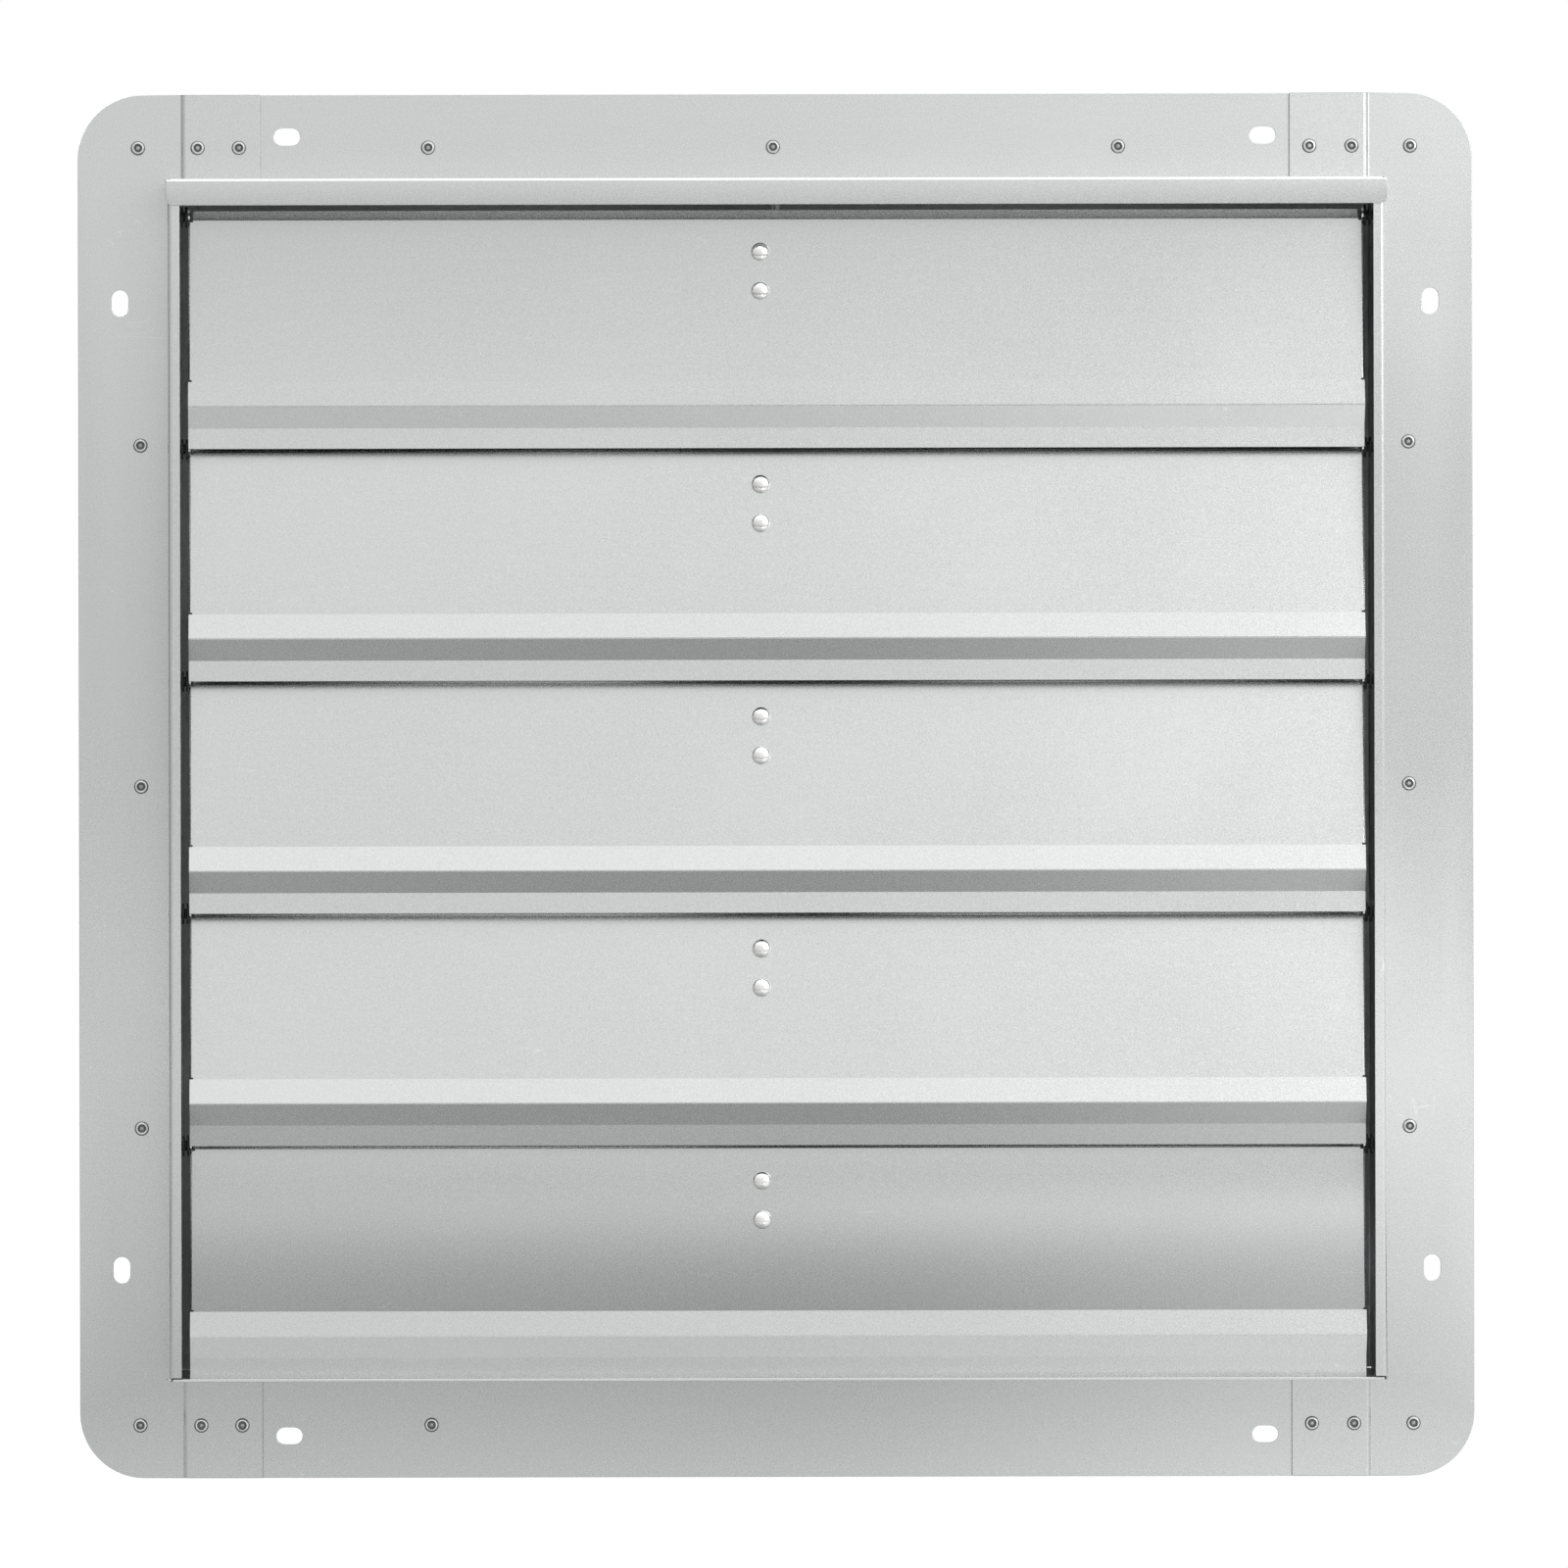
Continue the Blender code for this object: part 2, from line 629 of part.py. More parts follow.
def louver_profile():
    """Middle line of the louver's sheet from the rear upstand to the bottom edge, as (y, z)."""
    half = LOUVER_SHEET / 2
    shelf_z = -LOUVER_TOP_DROP - half
    steps = (
        (LOUVER_FACE_HEIGHT - half, -LOUVER_FACE_LEAN),
        (LOUVER_KICK_HEIGHT, -LOUVER_KICK_LEAN),
        (LOUVER_RETURN_HEIGHT, LOUVER_RETURN_LEAN),
        (LOUVER_LIP_HEIGHT, -LOUVER_LIP_LEAN),
    )
    points = [(SHELF_BACK, UPSTAND_TOP), (SHELF_BACK, shelf_z), (-LOUVER_TOP_FORWARD, shelf_z)]
    for drop, lean in steps:
        last_y, last_z = points[-1]
        points.append((last_y + lean, last_z - drop))
    return points


def on_face(drop):
    """Point of the louver face's middle line at a height below the hinge axis."""
    top, bottom = louver_profile()[2:4]
    share = (top[1] + drop) / (top[1] - bottom[1])
    return (top[0] + (bottom[0] - top[0]) * share, -drop)


def face_back():
    """Unit vector square to the louver's face, pointing to its back."""
    top, bottom = louver_profile()[2:4]
    run = Vector((bottom[0] - top[0], bottom[1] - top[1])).normalized()
    return Vector((-run.y, run.x))


def ear_outline():
    """Ear folded back from the louver's end, round the hinge axis, from the face's top down."""
    top = louver_profile()[2]
    root = on_face(EAR_DROP)
    eye = arc((0.0, 0.0), EAR_RADIUS, EAR_FRONT_ANGLE, EAR_BACK_ANGLE, CORNER_STEPS)
    return [top] + eye + [(SHELF_BACK, top[1]), (SHELF_BACK, -EAR_LEG), root]


def louver(material):
    """One louver with an ear at each end, its origin on the hinge axis."""
    profile = louver_profile()
    end_x = LOUVER_LENGTH / 2 - LOUVER_SHEET / 2
    shelf_x = end_x - SHELF_NOTCH
    root = on_face(EAR_DROP)
    panels = []
    for index in (0, 1):
        near, far = profile[index], profile[index + 1]
        corners = ((-shelf_x, near), (shelf_x, near), (shelf_x, far), (-shelf_x, far))
        panels.append([(x, y, z) for x, (y, z) in corners])
    top, bottom = profile[2], profile[3]
    corners = ((-end_x, top), (-shelf_x, top), (shelf_x, top), (end_x, top))
    corners += ((end_x, root), (end_x, bottom), (-end_x, bottom), (-end_x, root))
    panels.append([(x, y, z) for x, (y, z) in corners])
    for near, far in zip(profile[3:], profile[4:]):
        corners = ((-end_x, near), (end_x, near), (end_x, far), (-end_x, far))
        panels.append([(x, y, z) for x, (y, z) in corners])
    for side in (-1, 1):
        panels.append([(side * end_x, y, z) for y, z in ear_outline()])
    item = bent_sheet("louver_1", panels, LOUVER_SHEET, material)
    cutters = []
    for side in (-1, 1):
        start = (side * (end_x - OVERRUN), 0.0, 0.0)
        end = (side * (end_x + OVERRUN), 0.0, 0.0)
        cutters.append(rod("pin_cutter", start, end, PIN_TAIL_RADIUS + FIT, PIN_SIDES))
    cutters += rivet_cutters()
    combine(item, cutters, "DIFFERENCE")
    return item


def rivet_cutters():
    """Cutters for the rivet holes through the face and the bracket's foot."""
    back = face_back()
    reach = LOUVER_SHEET + BRACKET_SHEET + OVERRUN
    cutters = []
    for drop in RIVET_DROPS:
        y, z = on_face(drop)
        start = (RIVET_X, y - back.x * reach, z - back.y * reach)
        end = (RIVET_X, y + back.x * reach, z + back.y * reach)
        radius = RIVET_SHANK_RADIUS + FIT
        cutters.append(rod("rivet_cutter", start, end, radius, SMALL_SIDES))
    return cutters


def louvers(material):
    """The row of louvers, one mesh shared by all."""
    axes = louver_axes()
    first = louver(material)
    first.location = (0.0, AXIS_Y, axes[0])
    items = [first]
    for index, height in enumerate(axes[1:], start=2):
        items.append(add_copy(f"louver_{index}", first, (0.0, AXIS_Y, height)))
    return items


def pivot_pin_profile():
    """Nylon pin from the tail in the louver's ear to the journal in the wall, as (radius, height)."""
    ear_side = LOUVER_LENGTH / 2 + FIT
    first = ear_side + PIN_COLLAR_THICKNESS
    second = first + PIN_NECK_LENGTH
    third = second + PIN_COLLAR_THICKNESS
    return [
        (0.0, ear_side - PIN_TAIL_LENGTH),
        (PIN_TAIL_RADIUS, ear_side - PIN_TAIL_LENGTH),
        (PIN_TAIL_RADIUS, ear_side),
        (PIN_COLLAR_RADIUS, ear_side),
        (PIN_COLLAR_RADIUS, first),
        (PIN_NECK_RADIUS, first),
        (PIN_NECK_RADIUS, second),
        (PIN_COLLAR_RADIUS, second),
        (PIN_COLLAR_RADIUS, third),
        (PIN_JOURNAL_RADIUS, third),
        (PIN_JOURNAL_RADIUS, BOX_SIDE + PIN_JOURNAL_PROUD),
        (0.0, BOX_SIDE + PIN_JOURNAL_PROUD),
    ]


def pivot_pins(material):
    """Two nylon pins a louver, their height along X."""
    first = turned("pivot_pin_1_right", pivot_pin_profile(), PIN_SIDES, material)
    quarter = math.pi / 2
    for index, height in enumerate(louver_axes(), start=1):
        for side, turn in (("right", -quarter), ("left", quarter)):
            place = (0.0, AXIS_Y, height)
            if index == 1 and side == "right":
                first.location = place
                first.rotation_euler = (0.0, 0.0, turn)
            else:
                add_copy(f"pivot_pin_{index}_{side}", first, place, (0.0, 0.0, turn))


def link_point():
    """Link pin's centre from the hinge axis, as (y, z)."""
    return (LINK_RADIUS * math.cos(LINK_ANGLE), LINK_RADIUS * math.sin(LINK_ANGLE))


def bracket_web_x():
    """Middle plane of the bracket's web."""
    return RIVET_X + BRACKET_HALF_WIDTH


def link_bracket(material):
    """Folded bracket on the back of the first louver: a riveted foot and a web with an eye."""
    back = face_back()
    lift = LOUVER_SHEET / 2 + FIT + BRACKET_SHEET / 2
    ends = [on_face(drop) for drop in (BRACKET_TOP_DROP, BRACKET_TOP_DROP + BRACKET_FOOT_LENGTH)]
    top, bottom = [(y + back.x * lift, z + back.y * lift) for y, z in ends]
    web_x = bracket_web_x()
    edge_x = RIVET_X - BRACKET_HALF_WIDTH
    foot = [(edge_x, *top), (web_x, *top), (web_x, *bottom), (edge_x, *bottom)]
    eye = link_point()
    rim = arc(eye, BRACKET_EYE_RADIUS, BRACKET_EYE_START, BRACKET_EYE_END, CORNER_STEPS + 2)
    throat = (BRACKET_THROAT_BACK, top[1])
    web = [(web_x, *point) for point in [top, throat] + rim + [bottom]]
    item = bent_sheet("link_bracket_1", [foot, web], BRACKET_SHEET, material)
    radius = LINK_PIN_RADIUS + FIT
    start = (web_x - OVERRUN, *eye)
    end = (web_x + OVERRUN, *eye)
    cutters = [rod("eye_cutter", start, end, radius, SMALL_SIDES)] + rivet_cutters()
    combine(item, cutters, "DIFFERENCE")
    return item


def louver_rivet(material):
    """Domed rivet through face and foot, its height along Y and its origin in the face's middle."""
    grip = LOUVER_SHEET / 2 + FIT
    head = -grip - RIVET_HEAD_HEIGHT
    crown = -grip - RIVET_HEAD_HEIGHT * RIVET_CROWN_SHARE
    inner = LOUVER_SHEET / 2 + BRACKET_SHEET + FIT + FIT
    tail = inner + RIVET_TAIL_HEIGHT
    profile = [
        (0.0, head),
        (RIVET_CROWN_RADIUS, crown),
        (RIVET_HEAD_RADIUS, -grip),
        (RIVET_SHANK_RADIUS, -grip),
        (RIVET_SHANK_RADIUS, inner),
        (RIVET_TAIL_RADIUS, inner),
        (RIVET_TAIL_FLAT_RADIUS, tail),
        (0.0, tail),
    ]
    return turned("louver_rivet_1_upper", profile, SMALL_SIDES, material)


def link_pin(material):
    """Shouldered pin with two heads, its height along Y."""
    stack = BRACKET_SHEET + RUNNING_FIT + BAR_THICKNESS
    half = stack / 2 + FIT
    profile = [
        (0.0, -half - LINK_HEAD_HEIGHT),
        (LINK_HEAD_RADIUS, -half - LINK_HEAD_HEIGHT),
        (LINK_HEAD_RADIUS, -half),
        (LINK_PIN_RADIUS, -half),
        (LINK_PIN_RADIUS, half),
        (LINK_HEAD_RADIUS, half),
        (LINK_HEAD_RADIUS, half + LINK_HEAD_HEIGHT),
        (0.0, half + LINK_HEAD_HEIGHT),
    ]
    return turned("link_pin_1", profile, SMALL_SIDES, material)


def link_stack_x():
    """Middle of the bracket's web and the tie bar together."""
    left = bracket_web_x() - BRACKET_SHEET / 2
    return left + (BRACKET_SHEET + RUNNING_FIT + BAR_THICKNESS) / 2


def louver_links(zinc, bright):
    """Bracket, rivets and link pin of each louver."""
    quarter = math.pi / 2
    back = face_back()
    tilt = math.atan2(back.y, back.x)
    eye = link_point()
    bracket = link_bracket(zinc)
    rivet = louver_rivet(bright)
    pin = link_pin(zinc)
    for index, height in enumerate(louver_axes(), start=1):
        hinge = (0.0, AXIS_Y, height)
        spots = [("upper", RIVET_DROPS[0]), ("lower", RIVET_DROPS[1])]
        for label, drop in spots:
            y, z = on_face(drop)
            place = (RIVET_X, AXIS_Y + y, height + z)
            name = f"louver_rivet_{index}_{label}"
            copy = rivet if name == rivet.name else add_copy(name, rivet, place)
            copy.location = place
            copy.rotation_euler = (tilt, 0.0, 0.0)
        place = (link_stack_x(), AXIS_Y + eye[0], height + eye[1])
        copy = pin if index == 1 else add_copy(f"link_pin_{index}", pin, place)
        copy.location = place
        copy.rotation_euler = (0.0, 0.0, -quarter)
        copy = bracket if index == 1 else add_copy(f"link_bracket_{index}", bracket, hinge)
        copy.location = hinge


def tie_bar(material):
    """Flat bar that joins the link pins, its origin on the top pin."""
    axes = louver_axes()
    length = axes[0] - axes[-1]
    low = bracket_web_x() + BRACKET_SHEET / 2 + RUNNING_FIT
    half = BAR_WIDTH / 2
    half_turn = math.pi
    top = arc((0.0, 0.0), BAR_END_RADIUS, 0.0, half_turn, CORNER_STEPS)
    bottom = arc((0.0, -length), BAR_END_RADIUS, half_turn, 2 * half_turn, CORNER_STEPS)
    outline = [(a * half / BAR_END_RADIUS, b) for a, b in top + bottom]
    item = prism("tie_bar", outline, low, low + BAR_THICKNESS, along_x, material)
    cutters = []
    for height in axes:
        start = (low - OVERRUN, 0.0, height - axes[0])
        end = (low + BAR_THICKNESS + OVERRUN, 0.0, height - axes[0])
        radius = LINK_PIN_RADIUS + RUNNING_FIT
        cutters.append(rod("bar_cutter", start, end, radius, SMALL_SIDES))
    combine(item, cutters, "DIFFERENCE")
    eye = link_point()
    item.location = (0.0, AXIS_Y + eye[0], axes[0] + eye[1])
    return item


def housing_side(name, side, material):
    """Left (-1) or right (1) side of the housing: rivet flange, wall and rear flange."""
    wall_x = BOX_SIDE - HOUSING_SHEET / 2
    outer_x = RIVET_FRAME_WIDTH / 2
    inner_x = wall_x - REAR_FLANGE_WIDTH
    half_height = RIVET_FRAME_HEIGHT / 2
    rear = HOUSING_DEPTH - HOUSING_SHEET / 2
    low = BOX_BOTTOM + HOUSING_SHEET + FIT
    high = BOX_TOP - HOUSING_SHEET - FIT
    flange = [
        (side * outer_x, HOUSING_FLANGE_Y, -half_height),
        (side * wall_x, HOUSING_FLANGE_Y, -half_height),
        (side * wall_x, HOUSING_FLANGE_Y, BOX_BOTTOM),
        (side * wall_x, HOUSING_FLANGE_Y, BOX_TOP),
        (side * wall_x, HOUSING_FLANGE_Y, half_height),
        (side * outer_x, HOUSING_FLANGE_Y, half_height),
    ]
    wall = [
        (side * wall_x, HOUSING_FLANGE_Y, BOX_BOTTOM),
        (side * wall_x, rear, BOX_BOTTOM),
        (side * wall_x, rear, low),
        (side * wall_x, rear, high),
        (side * wall_x, rear, BOX_TOP),
        (side * wall_x, HOUSING_FLANGE_Y, BOX_TOP),
    ]
    rear_flange = [
        (side * wall_x, rear, low),
        (side * inner_x, rear, low),
        (side * inner_x, rear, high),
        (side * wall_x, rear, high),
    ]
    return bent_sheet(name, [flange, wall, rear_flange], HOUSING_SHEET, material)


def housing_level(name, end, material):
    """Top (1) or bottom (-1) of the housing, fitted between the two sides."""
    half = BOX_SIDE - HOUSING_SHEET - FIT
    rear_half = half - REAR_FLANGE_WIDTH
    wall_z = BOX_TOP - HOUSING_SHEET / 2 if end > 0 else BOX_BOTTOM + HOUSING_SHEET / 2
    outer_z = end * RIVET_FRAME_HEIGHT / 2
    inner_z = wall_z - end * REAR_FLANGE_WIDTH
    rear = HOUSING_DEPTH - HOUSING_SHEET / 2
    flange = [
        (-half, HOUSING_FLANGE_Y, outer_z),
        (half, HOUSING_FLANGE_Y, outer_z),
        (half, HOUSING_FLANGE_Y, wall_z),
        (-half, HOUSING_FLANGE_Y, wall_z),
    ]
    wall = [
        (-half, HOUSING_FLANGE_Y, wall_z),
        (half, HOUSING_FLANGE_Y, wall_z),
        (half, rear, wall_z),
        (rear_half, rear, wall_z),
        (-rear_half, rear, wall_z),
        (-half, rear, wall_z),
    ]
    rear_flange = [
        (-rear_half, rear, wall_z),
        (rear_half, rear, wall_z),
        (rear_half, rear, inner_z),
        (-rear_half, rear, inner_z),
    ]
    item = bent_sheet(name, [flange, wall, rear_flange], HOUSING_SHEET, material)
    combine(item, slot_cutters(level_slots(end), False, SLOT_RELIEF), "DIFFERENCE")
    return item


def orifice_panel(material):
    """Rear panel whose round opening is drawn forward into a throat."""
    quarter = math.pi / 2
    middle = THROAT_RADIUS + ORIFICE_SHEET / 2
    bell = arc(
        (middle + THROAT_BELL_RADIUS, PANEL_Y - THROAT_BELL_RADIUS),
        THROAT_BELL_RADIUS,
        quarter,
        2 * quarter,
        BELL_STEPS,
    )
    profile = bell + [(middle, PANEL_Y - THROAT_DEPTH)]
    half_x, half_z = BOX_WIDTH / 2, BOX_HEIGHT / 2
    edge = []
    for index in range(THROAT_SIDES):
        angle = 2 * math.pi * index / THROAT_SIDES
        x, z = math.cos(angle), math.sin(angle)
        reach = max(abs(x), abs(z))
        edge.append((x / reach * half_x, PANEL_Y, z / reach * half_z))
    rings = [edge]
    for radius, y in profile:
        ring = []
        for index in range(THROAT_SIDES):
            angle = 2 * math.pi * index / THROAT_SIDES
            ring.append((radius * math.cos(angle), y, radius * math.sin(angle)))
        rings.append(ring)
    panels = []
    for near, far in zip(rings, rings[1:]):
        for index in range(THROAT_SIDES):
            following = (index + 1) % THROAT_SIDES
            panels.append([near[index], near[following], far[following], far[index]])
    item = bent_sheet("orifice_panel", panels, ORIFICE_SHEET, material, (0.0, 0.0, BOX_RISE))
    smooth(item)
    return item


def motor_strap(name, side, material):
    """Bent strap across the opening, above (1) or below (-1) the fan axis."""
    foot_end = BOX_SIDE - STRAP_EDGE_MARGIN
    knee = THROAT_RADIUS + STRAP_KNEE_MARGIN
    shoulder = knee - STRAP_RISER_RUN
    stops = [(foot_end, STRAP_FOOT_Y), (knee, STRAP_FOOT_Y), (shoulder, STRAP_SPAN_Y)]
    stops += [(-x, y) for x, y in reversed(stops)]
    middle = BOX_RISE + side * STRAP_OFFSET
    low, high = middle - STRAP_WIDTH / 2, middle + STRAP_WIDTH / 2
    panels = []
    for (near_x, near_y), (far_x, far_y) in zip(stops, stops[1:]):
        panels.append([
            (near_x, near_y, low),
            (far_x, far_y, low),
            (far_x, far_y, high),
            (near_x, near_y, high),
        ])
    return bent_sheet(name, panels, STRAP_THICKNESS, material)


def motor_parts(material):
    """Body with a blind bore for the shaft, and the caps in front of and behind it."""
    place = (0.0, 0.0, BOX_RISE)
    bore_end = MOTOR_BODY_FRONT + MOTOR_BORE_DEPTH
    body = [
        (0.0, MOTOR_BODY_REAR),
        (MOTOR_RADIUS, MOTOR_BODY_REAR),
        (MOTOR_RADIUS, MOTOR_BODY_FRONT),
        (BORE_RADIUS, MOTOR_BODY_FRONT),
        (BORE_RADIUS, bore_end),
        (0.0, bore_end),
    ]
    turned("motor_body", body, MOTOR_SIDES, material, place)
    front_rear = MOTOR_BODY_FRONT - FIT
    front = [
        (BORE_RADIUS, MOTOR_FRONT),
        (MOTOR_RADIUS - MOTOR_CAP_CHAMFER, MOTOR_FRONT),
        (MOTOR_RADIUS, MOTOR_FRONT + MOTOR_CAP_CHAMFER / 2),
        (MOTOR_RADIUS, front_rear),
        (BORE_RADIUS, front_rear),
    ]
    turned("motor_cap_front", front, MOTOR_SIDES, material, place, closed=True)
    rear_front = MOTOR_BODY_REAR + FIT
    rear_end = rear_front + MOTOR_REAR_CAP_LENGTH
    rear = [
        (0.0, rear_front),
        (MOTOR_RADIUS, rear_front),
        (MOTOR_RADIUS, rear_end - MOTOR_CAP_CHAMFER),
        (MOTOR_RADIUS - MOTOR_CAP_CHAMFER, rear_end - MOTOR_FLANGE_STEP),
        (MOTOR_BOSS_RADIUS, rear_end - MOTOR_FLANGE_STEP),
        (MOTOR_BOSS_RADIUS, rear_end),
        (0.0, rear_end),
    ]
    turned("motor_cap_rear", rear, MOTOR_SIDES, material, place)


def shaft(material):
    """Motor shaft from the blind bore to just past the hub."""
    rear = MOTOR_BODY_FRONT + MOTOR_BORE_DEPTH - FIT
    front = HUB_CENTRE - HUB_LENGTH / 2 - SHAFT_PROUD
    profile = [
        (0.0, front),
        (SHAFT_RADIUS - SHAFT_TIP_CHAMFER, front),
        (SHAFT_RADIUS, front + SHAFT_TIP_CHAMFER),
        (SHAFT_RADIUS, rear),
        (0.0, rear),
    ]
    turned("fan_shaft", profile, SMALL_SIDES * 2, material, (0.0, 0.0, BOX_RISE))


def blade_pitch(radius):
    """Pitch of the blade, falling evenly from root to tip."""
    share = (radius - BLADE_ROOT_RADIUS) / (BLADE_TIP_RADIUS - BLADE_ROOT_RADIUS)
    share = max(0.0, share)
    return BLADE_ROOT_PITCH + (BLADE_TIP_PITCH - BLADE_ROOT_PITCH) * share


def blade_point(radius, across, half_chord, setback, turn):
    """Point of the blade's surface: across runs -1 to 1 over the chord at this radius."""
    pitch = blade_pitch(radius)
    along = across * half_chord
    camber = BLADE_CAMBER * (1 - (along / (BLADE_TIP_CHORD / 2)) ** 2)
    angle = turn + along * math.cos(pitch) / radius
    axial = HUB_CENTRE + along * math.sin(pitch) - camber + setback
    return (radius * math.sin(angle), axial, radius * math.cos(angle))


def blade_panels(inner, outer, inner_chord, outer_chord, setback, turn):
    """Grid of panels on the blade's surface between two radii."""
    rows = []
    for row in range(BLADE_ROWS + 1):
        share = row / BLADE_ROWS
        radius = inner + (outer - inner) * share
        half_chord = (inner_chord + (outer_chord - inner_chord) * share) / 2
        points = []
        for column in range(BLADE_COLUMNS + 1):
            across = 2 * column / BLADE_COLUMNS - 1
            points.append(blade_point(radius, across, half_chord, setback, turn))
        rows.append(points)
    panels = []
    for near, far in zip(rows, rows[1:]):
        for index in range(BLADE_COLUMNS):
            panels.append([near[index], near[index + 1], far[index + 1], far[index]])
    return panels


def fan_blades(material):
    """Blades, each its own pressed sheet."""
    for index in range(BLADE_COUNT):
        turn = 2 * math.pi * index / BLADE_COUNT
        panels = blade_panels(
            BLADE_ROOT_RADIUS, BLADE_TIP_RADIUS, BLADE_ROOT_CHORD, BLADE_TIP_CHORD, 0.0, turn
        )
        name = f"fan_blade_{index + 1}"
        item = bent_sheet(name, panels, BLADE_SHEET, material, (0.0, 0.0, BOX_RISE))
        smooth(item)


def fan_hub(material):
    """Hub with a bore for the shaft and an arm behind each blade."""
    place = (0.0, 0.0, BOX_RISE)
    front = HUB_CENTRE - HUB_LENGTH / 2
    rear = HUB_CENTRE + HUB_LENGTH / 2
    setback = (BLADE_SHEET / 2 + ARM_SHEET / 2 + FIT) / math.cos(BLADE_ROOT_PITCH)
    profile = [(0.0, front), (HUB_RADIUS, front), (HUB_RADIUS, rear), (0.0, rear)]
    item = turned("fan_hub", profile, MOTOR_SIDES, material, place)
    arms = []
    for index in range(BLADE_COUNT):
        turn = 2 * math.pi * index / BLADE_COUNT
        panels = blade_panels(
            ARM_INNER_RADIUS, ARM_OUTER_RADIUS, ARM_CHORD, ARM_CHORD, setback, turn
        )
        arms.append(bent_sheet("arm", panels, ARM_SHEET, material, place))
    combine(item, arms, "UNION")
    start = (0.0, front - OVERRUN, BOX_RISE)
    end = (0.0, rear + OVERRUN, BOX_RISE)
    bore = rod("bore_cutter", start, end, SHAFT_RADIUS + FIT, SMALL_SIDES * 2)
    combine(item, [bore], "DIFFERENCE")
    smooth(item)


def guard_height(radius):
    """Distance of the guard's middle surface behind its rim at a radius."""
    for (near, low), (far, high) in zip(GUARD_PROFILE_SHARES, GUARD_PROFILE_SHARES[1:]):
        outer, inner = near * GUARD_RIM_RADIUS, far * GUARD_RIM_RADIUS
        if radius >= inner:
            share = (outer - radius) / (outer - inner)
            return (low + (high - low) * share) * GUARD_DEPTH
    return GUARD_DEPTH


def guard_ring(radius, wire_radius):
    """Closed wire ring of the guard."""
    y = GUARD_RIM_Y + guard_height(radius)
    outline = arc((radius, y), wire_radius, 0.0, 2 * math.pi, WIRE_SIDES)[:-1]
    return turned("guard_ring", outline, GUARD_SIDES, None, closed=True)


def guard_spoke(angle):
    """Radial wire from the rim to the inner ring, as a bevelled curve made into a mesh."""
    curve = bpy.data.curves.new("guard_spoke", "CURVE")
    curve.dimensions = "3D"
    curve.bevel_depth = GUARD_WIRE_RADIUS
    curve.bevel_resolution = 0
    curve.use_fill_caps = True
    radii = [near * GUARD_RIM_RADIUS for near, _ in GUARD_PROFILE_SHARES[:-1]]
    radii.append(GUARD_INNER_RADIUS)
    spline = curve.splines.new("POLY")
    spline.points.add(len(radii) - 1)
    for point, radius in zip(spline.points, radii):
        y = GUARD_RIM_Y + guard_height(radius) + GUARD_WELD_OFFSET
        point.co = (radius * math.cos(angle), y, radius * math.sin(angle), 1.0)
    item = bpy.data.objects.new("guard_spoke", curve)
    bpy.context.scene.collection.objects.link(item)
    mesh = bpy.data.meshes.new_from_object(
        item.evaluated_get(bpy.context.evaluated_depsgraph_get())
    )
    bpy.data.objects.remove(item)
    bm = bmesh.new()
    bm.from_mesh(mesh)
    bmesh.ops.remove_doubles(bm, verts=bm.verts, dist=MERGE_DISTANCE)
    return add_object("guard_spoke", bm, None)


def wire_guard(material):
    """Welded guard over the motor: rings joined by radial spokes."""
    rim = guard_ring(GUARD_RIM_RADIUS, GUARD_RIM_WIRE_RADIUS)
    rim.name = "wire_guard"
    rim.data.materials.append(material)
    span = GUARD_RIM_RADIUS - GUARD_INNER_RADIUS
    count = round(span / GUARD_RING_STEP)
    wires = []
    for index in range(1, count + 1):
        radius = GUARD_RIM_RADIUS - span * index / count
        wires.append(guard_ring(radius, GUARD_WIRE_RADIUS))
    for index in range(GUARD_SPOKE_COUNT):
        wires.append(guard_spoke(2 * math.pi * (index + 0.5) / GUARD_SPOKE_COUNT))
    combine(rim, wires, "UNION")
    rim.location = (0.0, 0.0, BOX_RISE)
    return rim


def box_object(name, low, high, material=None):
    """Box between two corners."""
    outline = [(low[0], low[1]), (high[0], low[1]), (high[0], high[1]), (low[0], high[1])]
    return prism(name, outline, low[2], high[2], along_z, material)


def terminal_box(material):
    """Open-topped box saddled on the motor body."""
    centre = (MOTOR_BODY_FRONT + MOTOR_BODY_REAR) / 2
    half_x, half_y = TERMINAL_WIDTH / 2, TERMINAL_LENGTH / 2
    top = BOX_RISE + MOTOR_RADIUS + TERMINAL_HEIGHT
    base = BOX_RISE + MOTOR_RADIUS - TERMINAL_SKIRT
    item = box_object(
        "terminal_box",
        (-half_x, centre - half_y, base),
        (half_x, centre + half_y, top),
        material,
    )
    wall = TERMINAL_WALL
    floor = BOX_RISE + MOTOR_RADIUS + TERMINAL_WALL + FIT
    hollow = box_object(
        "hollow_cutter",
        (-half_x + wall, centre - half_y + wall, floor),
        (half_x - wall, centre + half_y - wall, top + OVERRUN),
    )
    start = (0.0, centre - half_y - OVERRUN, BOX_RISE)
    end = (0.0, centre + half_y + OVERRUN, BOX_RISE)
    saddle = rod("saddle_cutter", start, end, MOTOR_RADIUS + FIT, MOTOR_SIDES * 2)
    gland_z = (floor + top) / 2
    near = (half_x - wall - OVERRUN, centre, gland_z)
    far = (half_x + OVERRUN, centre, gland_z)
    entry = rod("entry_cutter", near, far, GLAND_THREAD_RADIUS + FIT, SMALL_SIDES)
    combine(item, [hollow, saddle, entry], "DIFFERENCE")
    lid_low = top + FIT
    box_object(
        "terminal_lid",
        (-half_x - LID_OVERHANG, centre - half_y - LID_OVERHANG, lid_low),
        (half_x + LID_OVERHANG, centre + half_y + LID_OVERHANG, lid_low + LID_THICKNESS),
        material,
    )
    return (half_x, centre, gland_z)


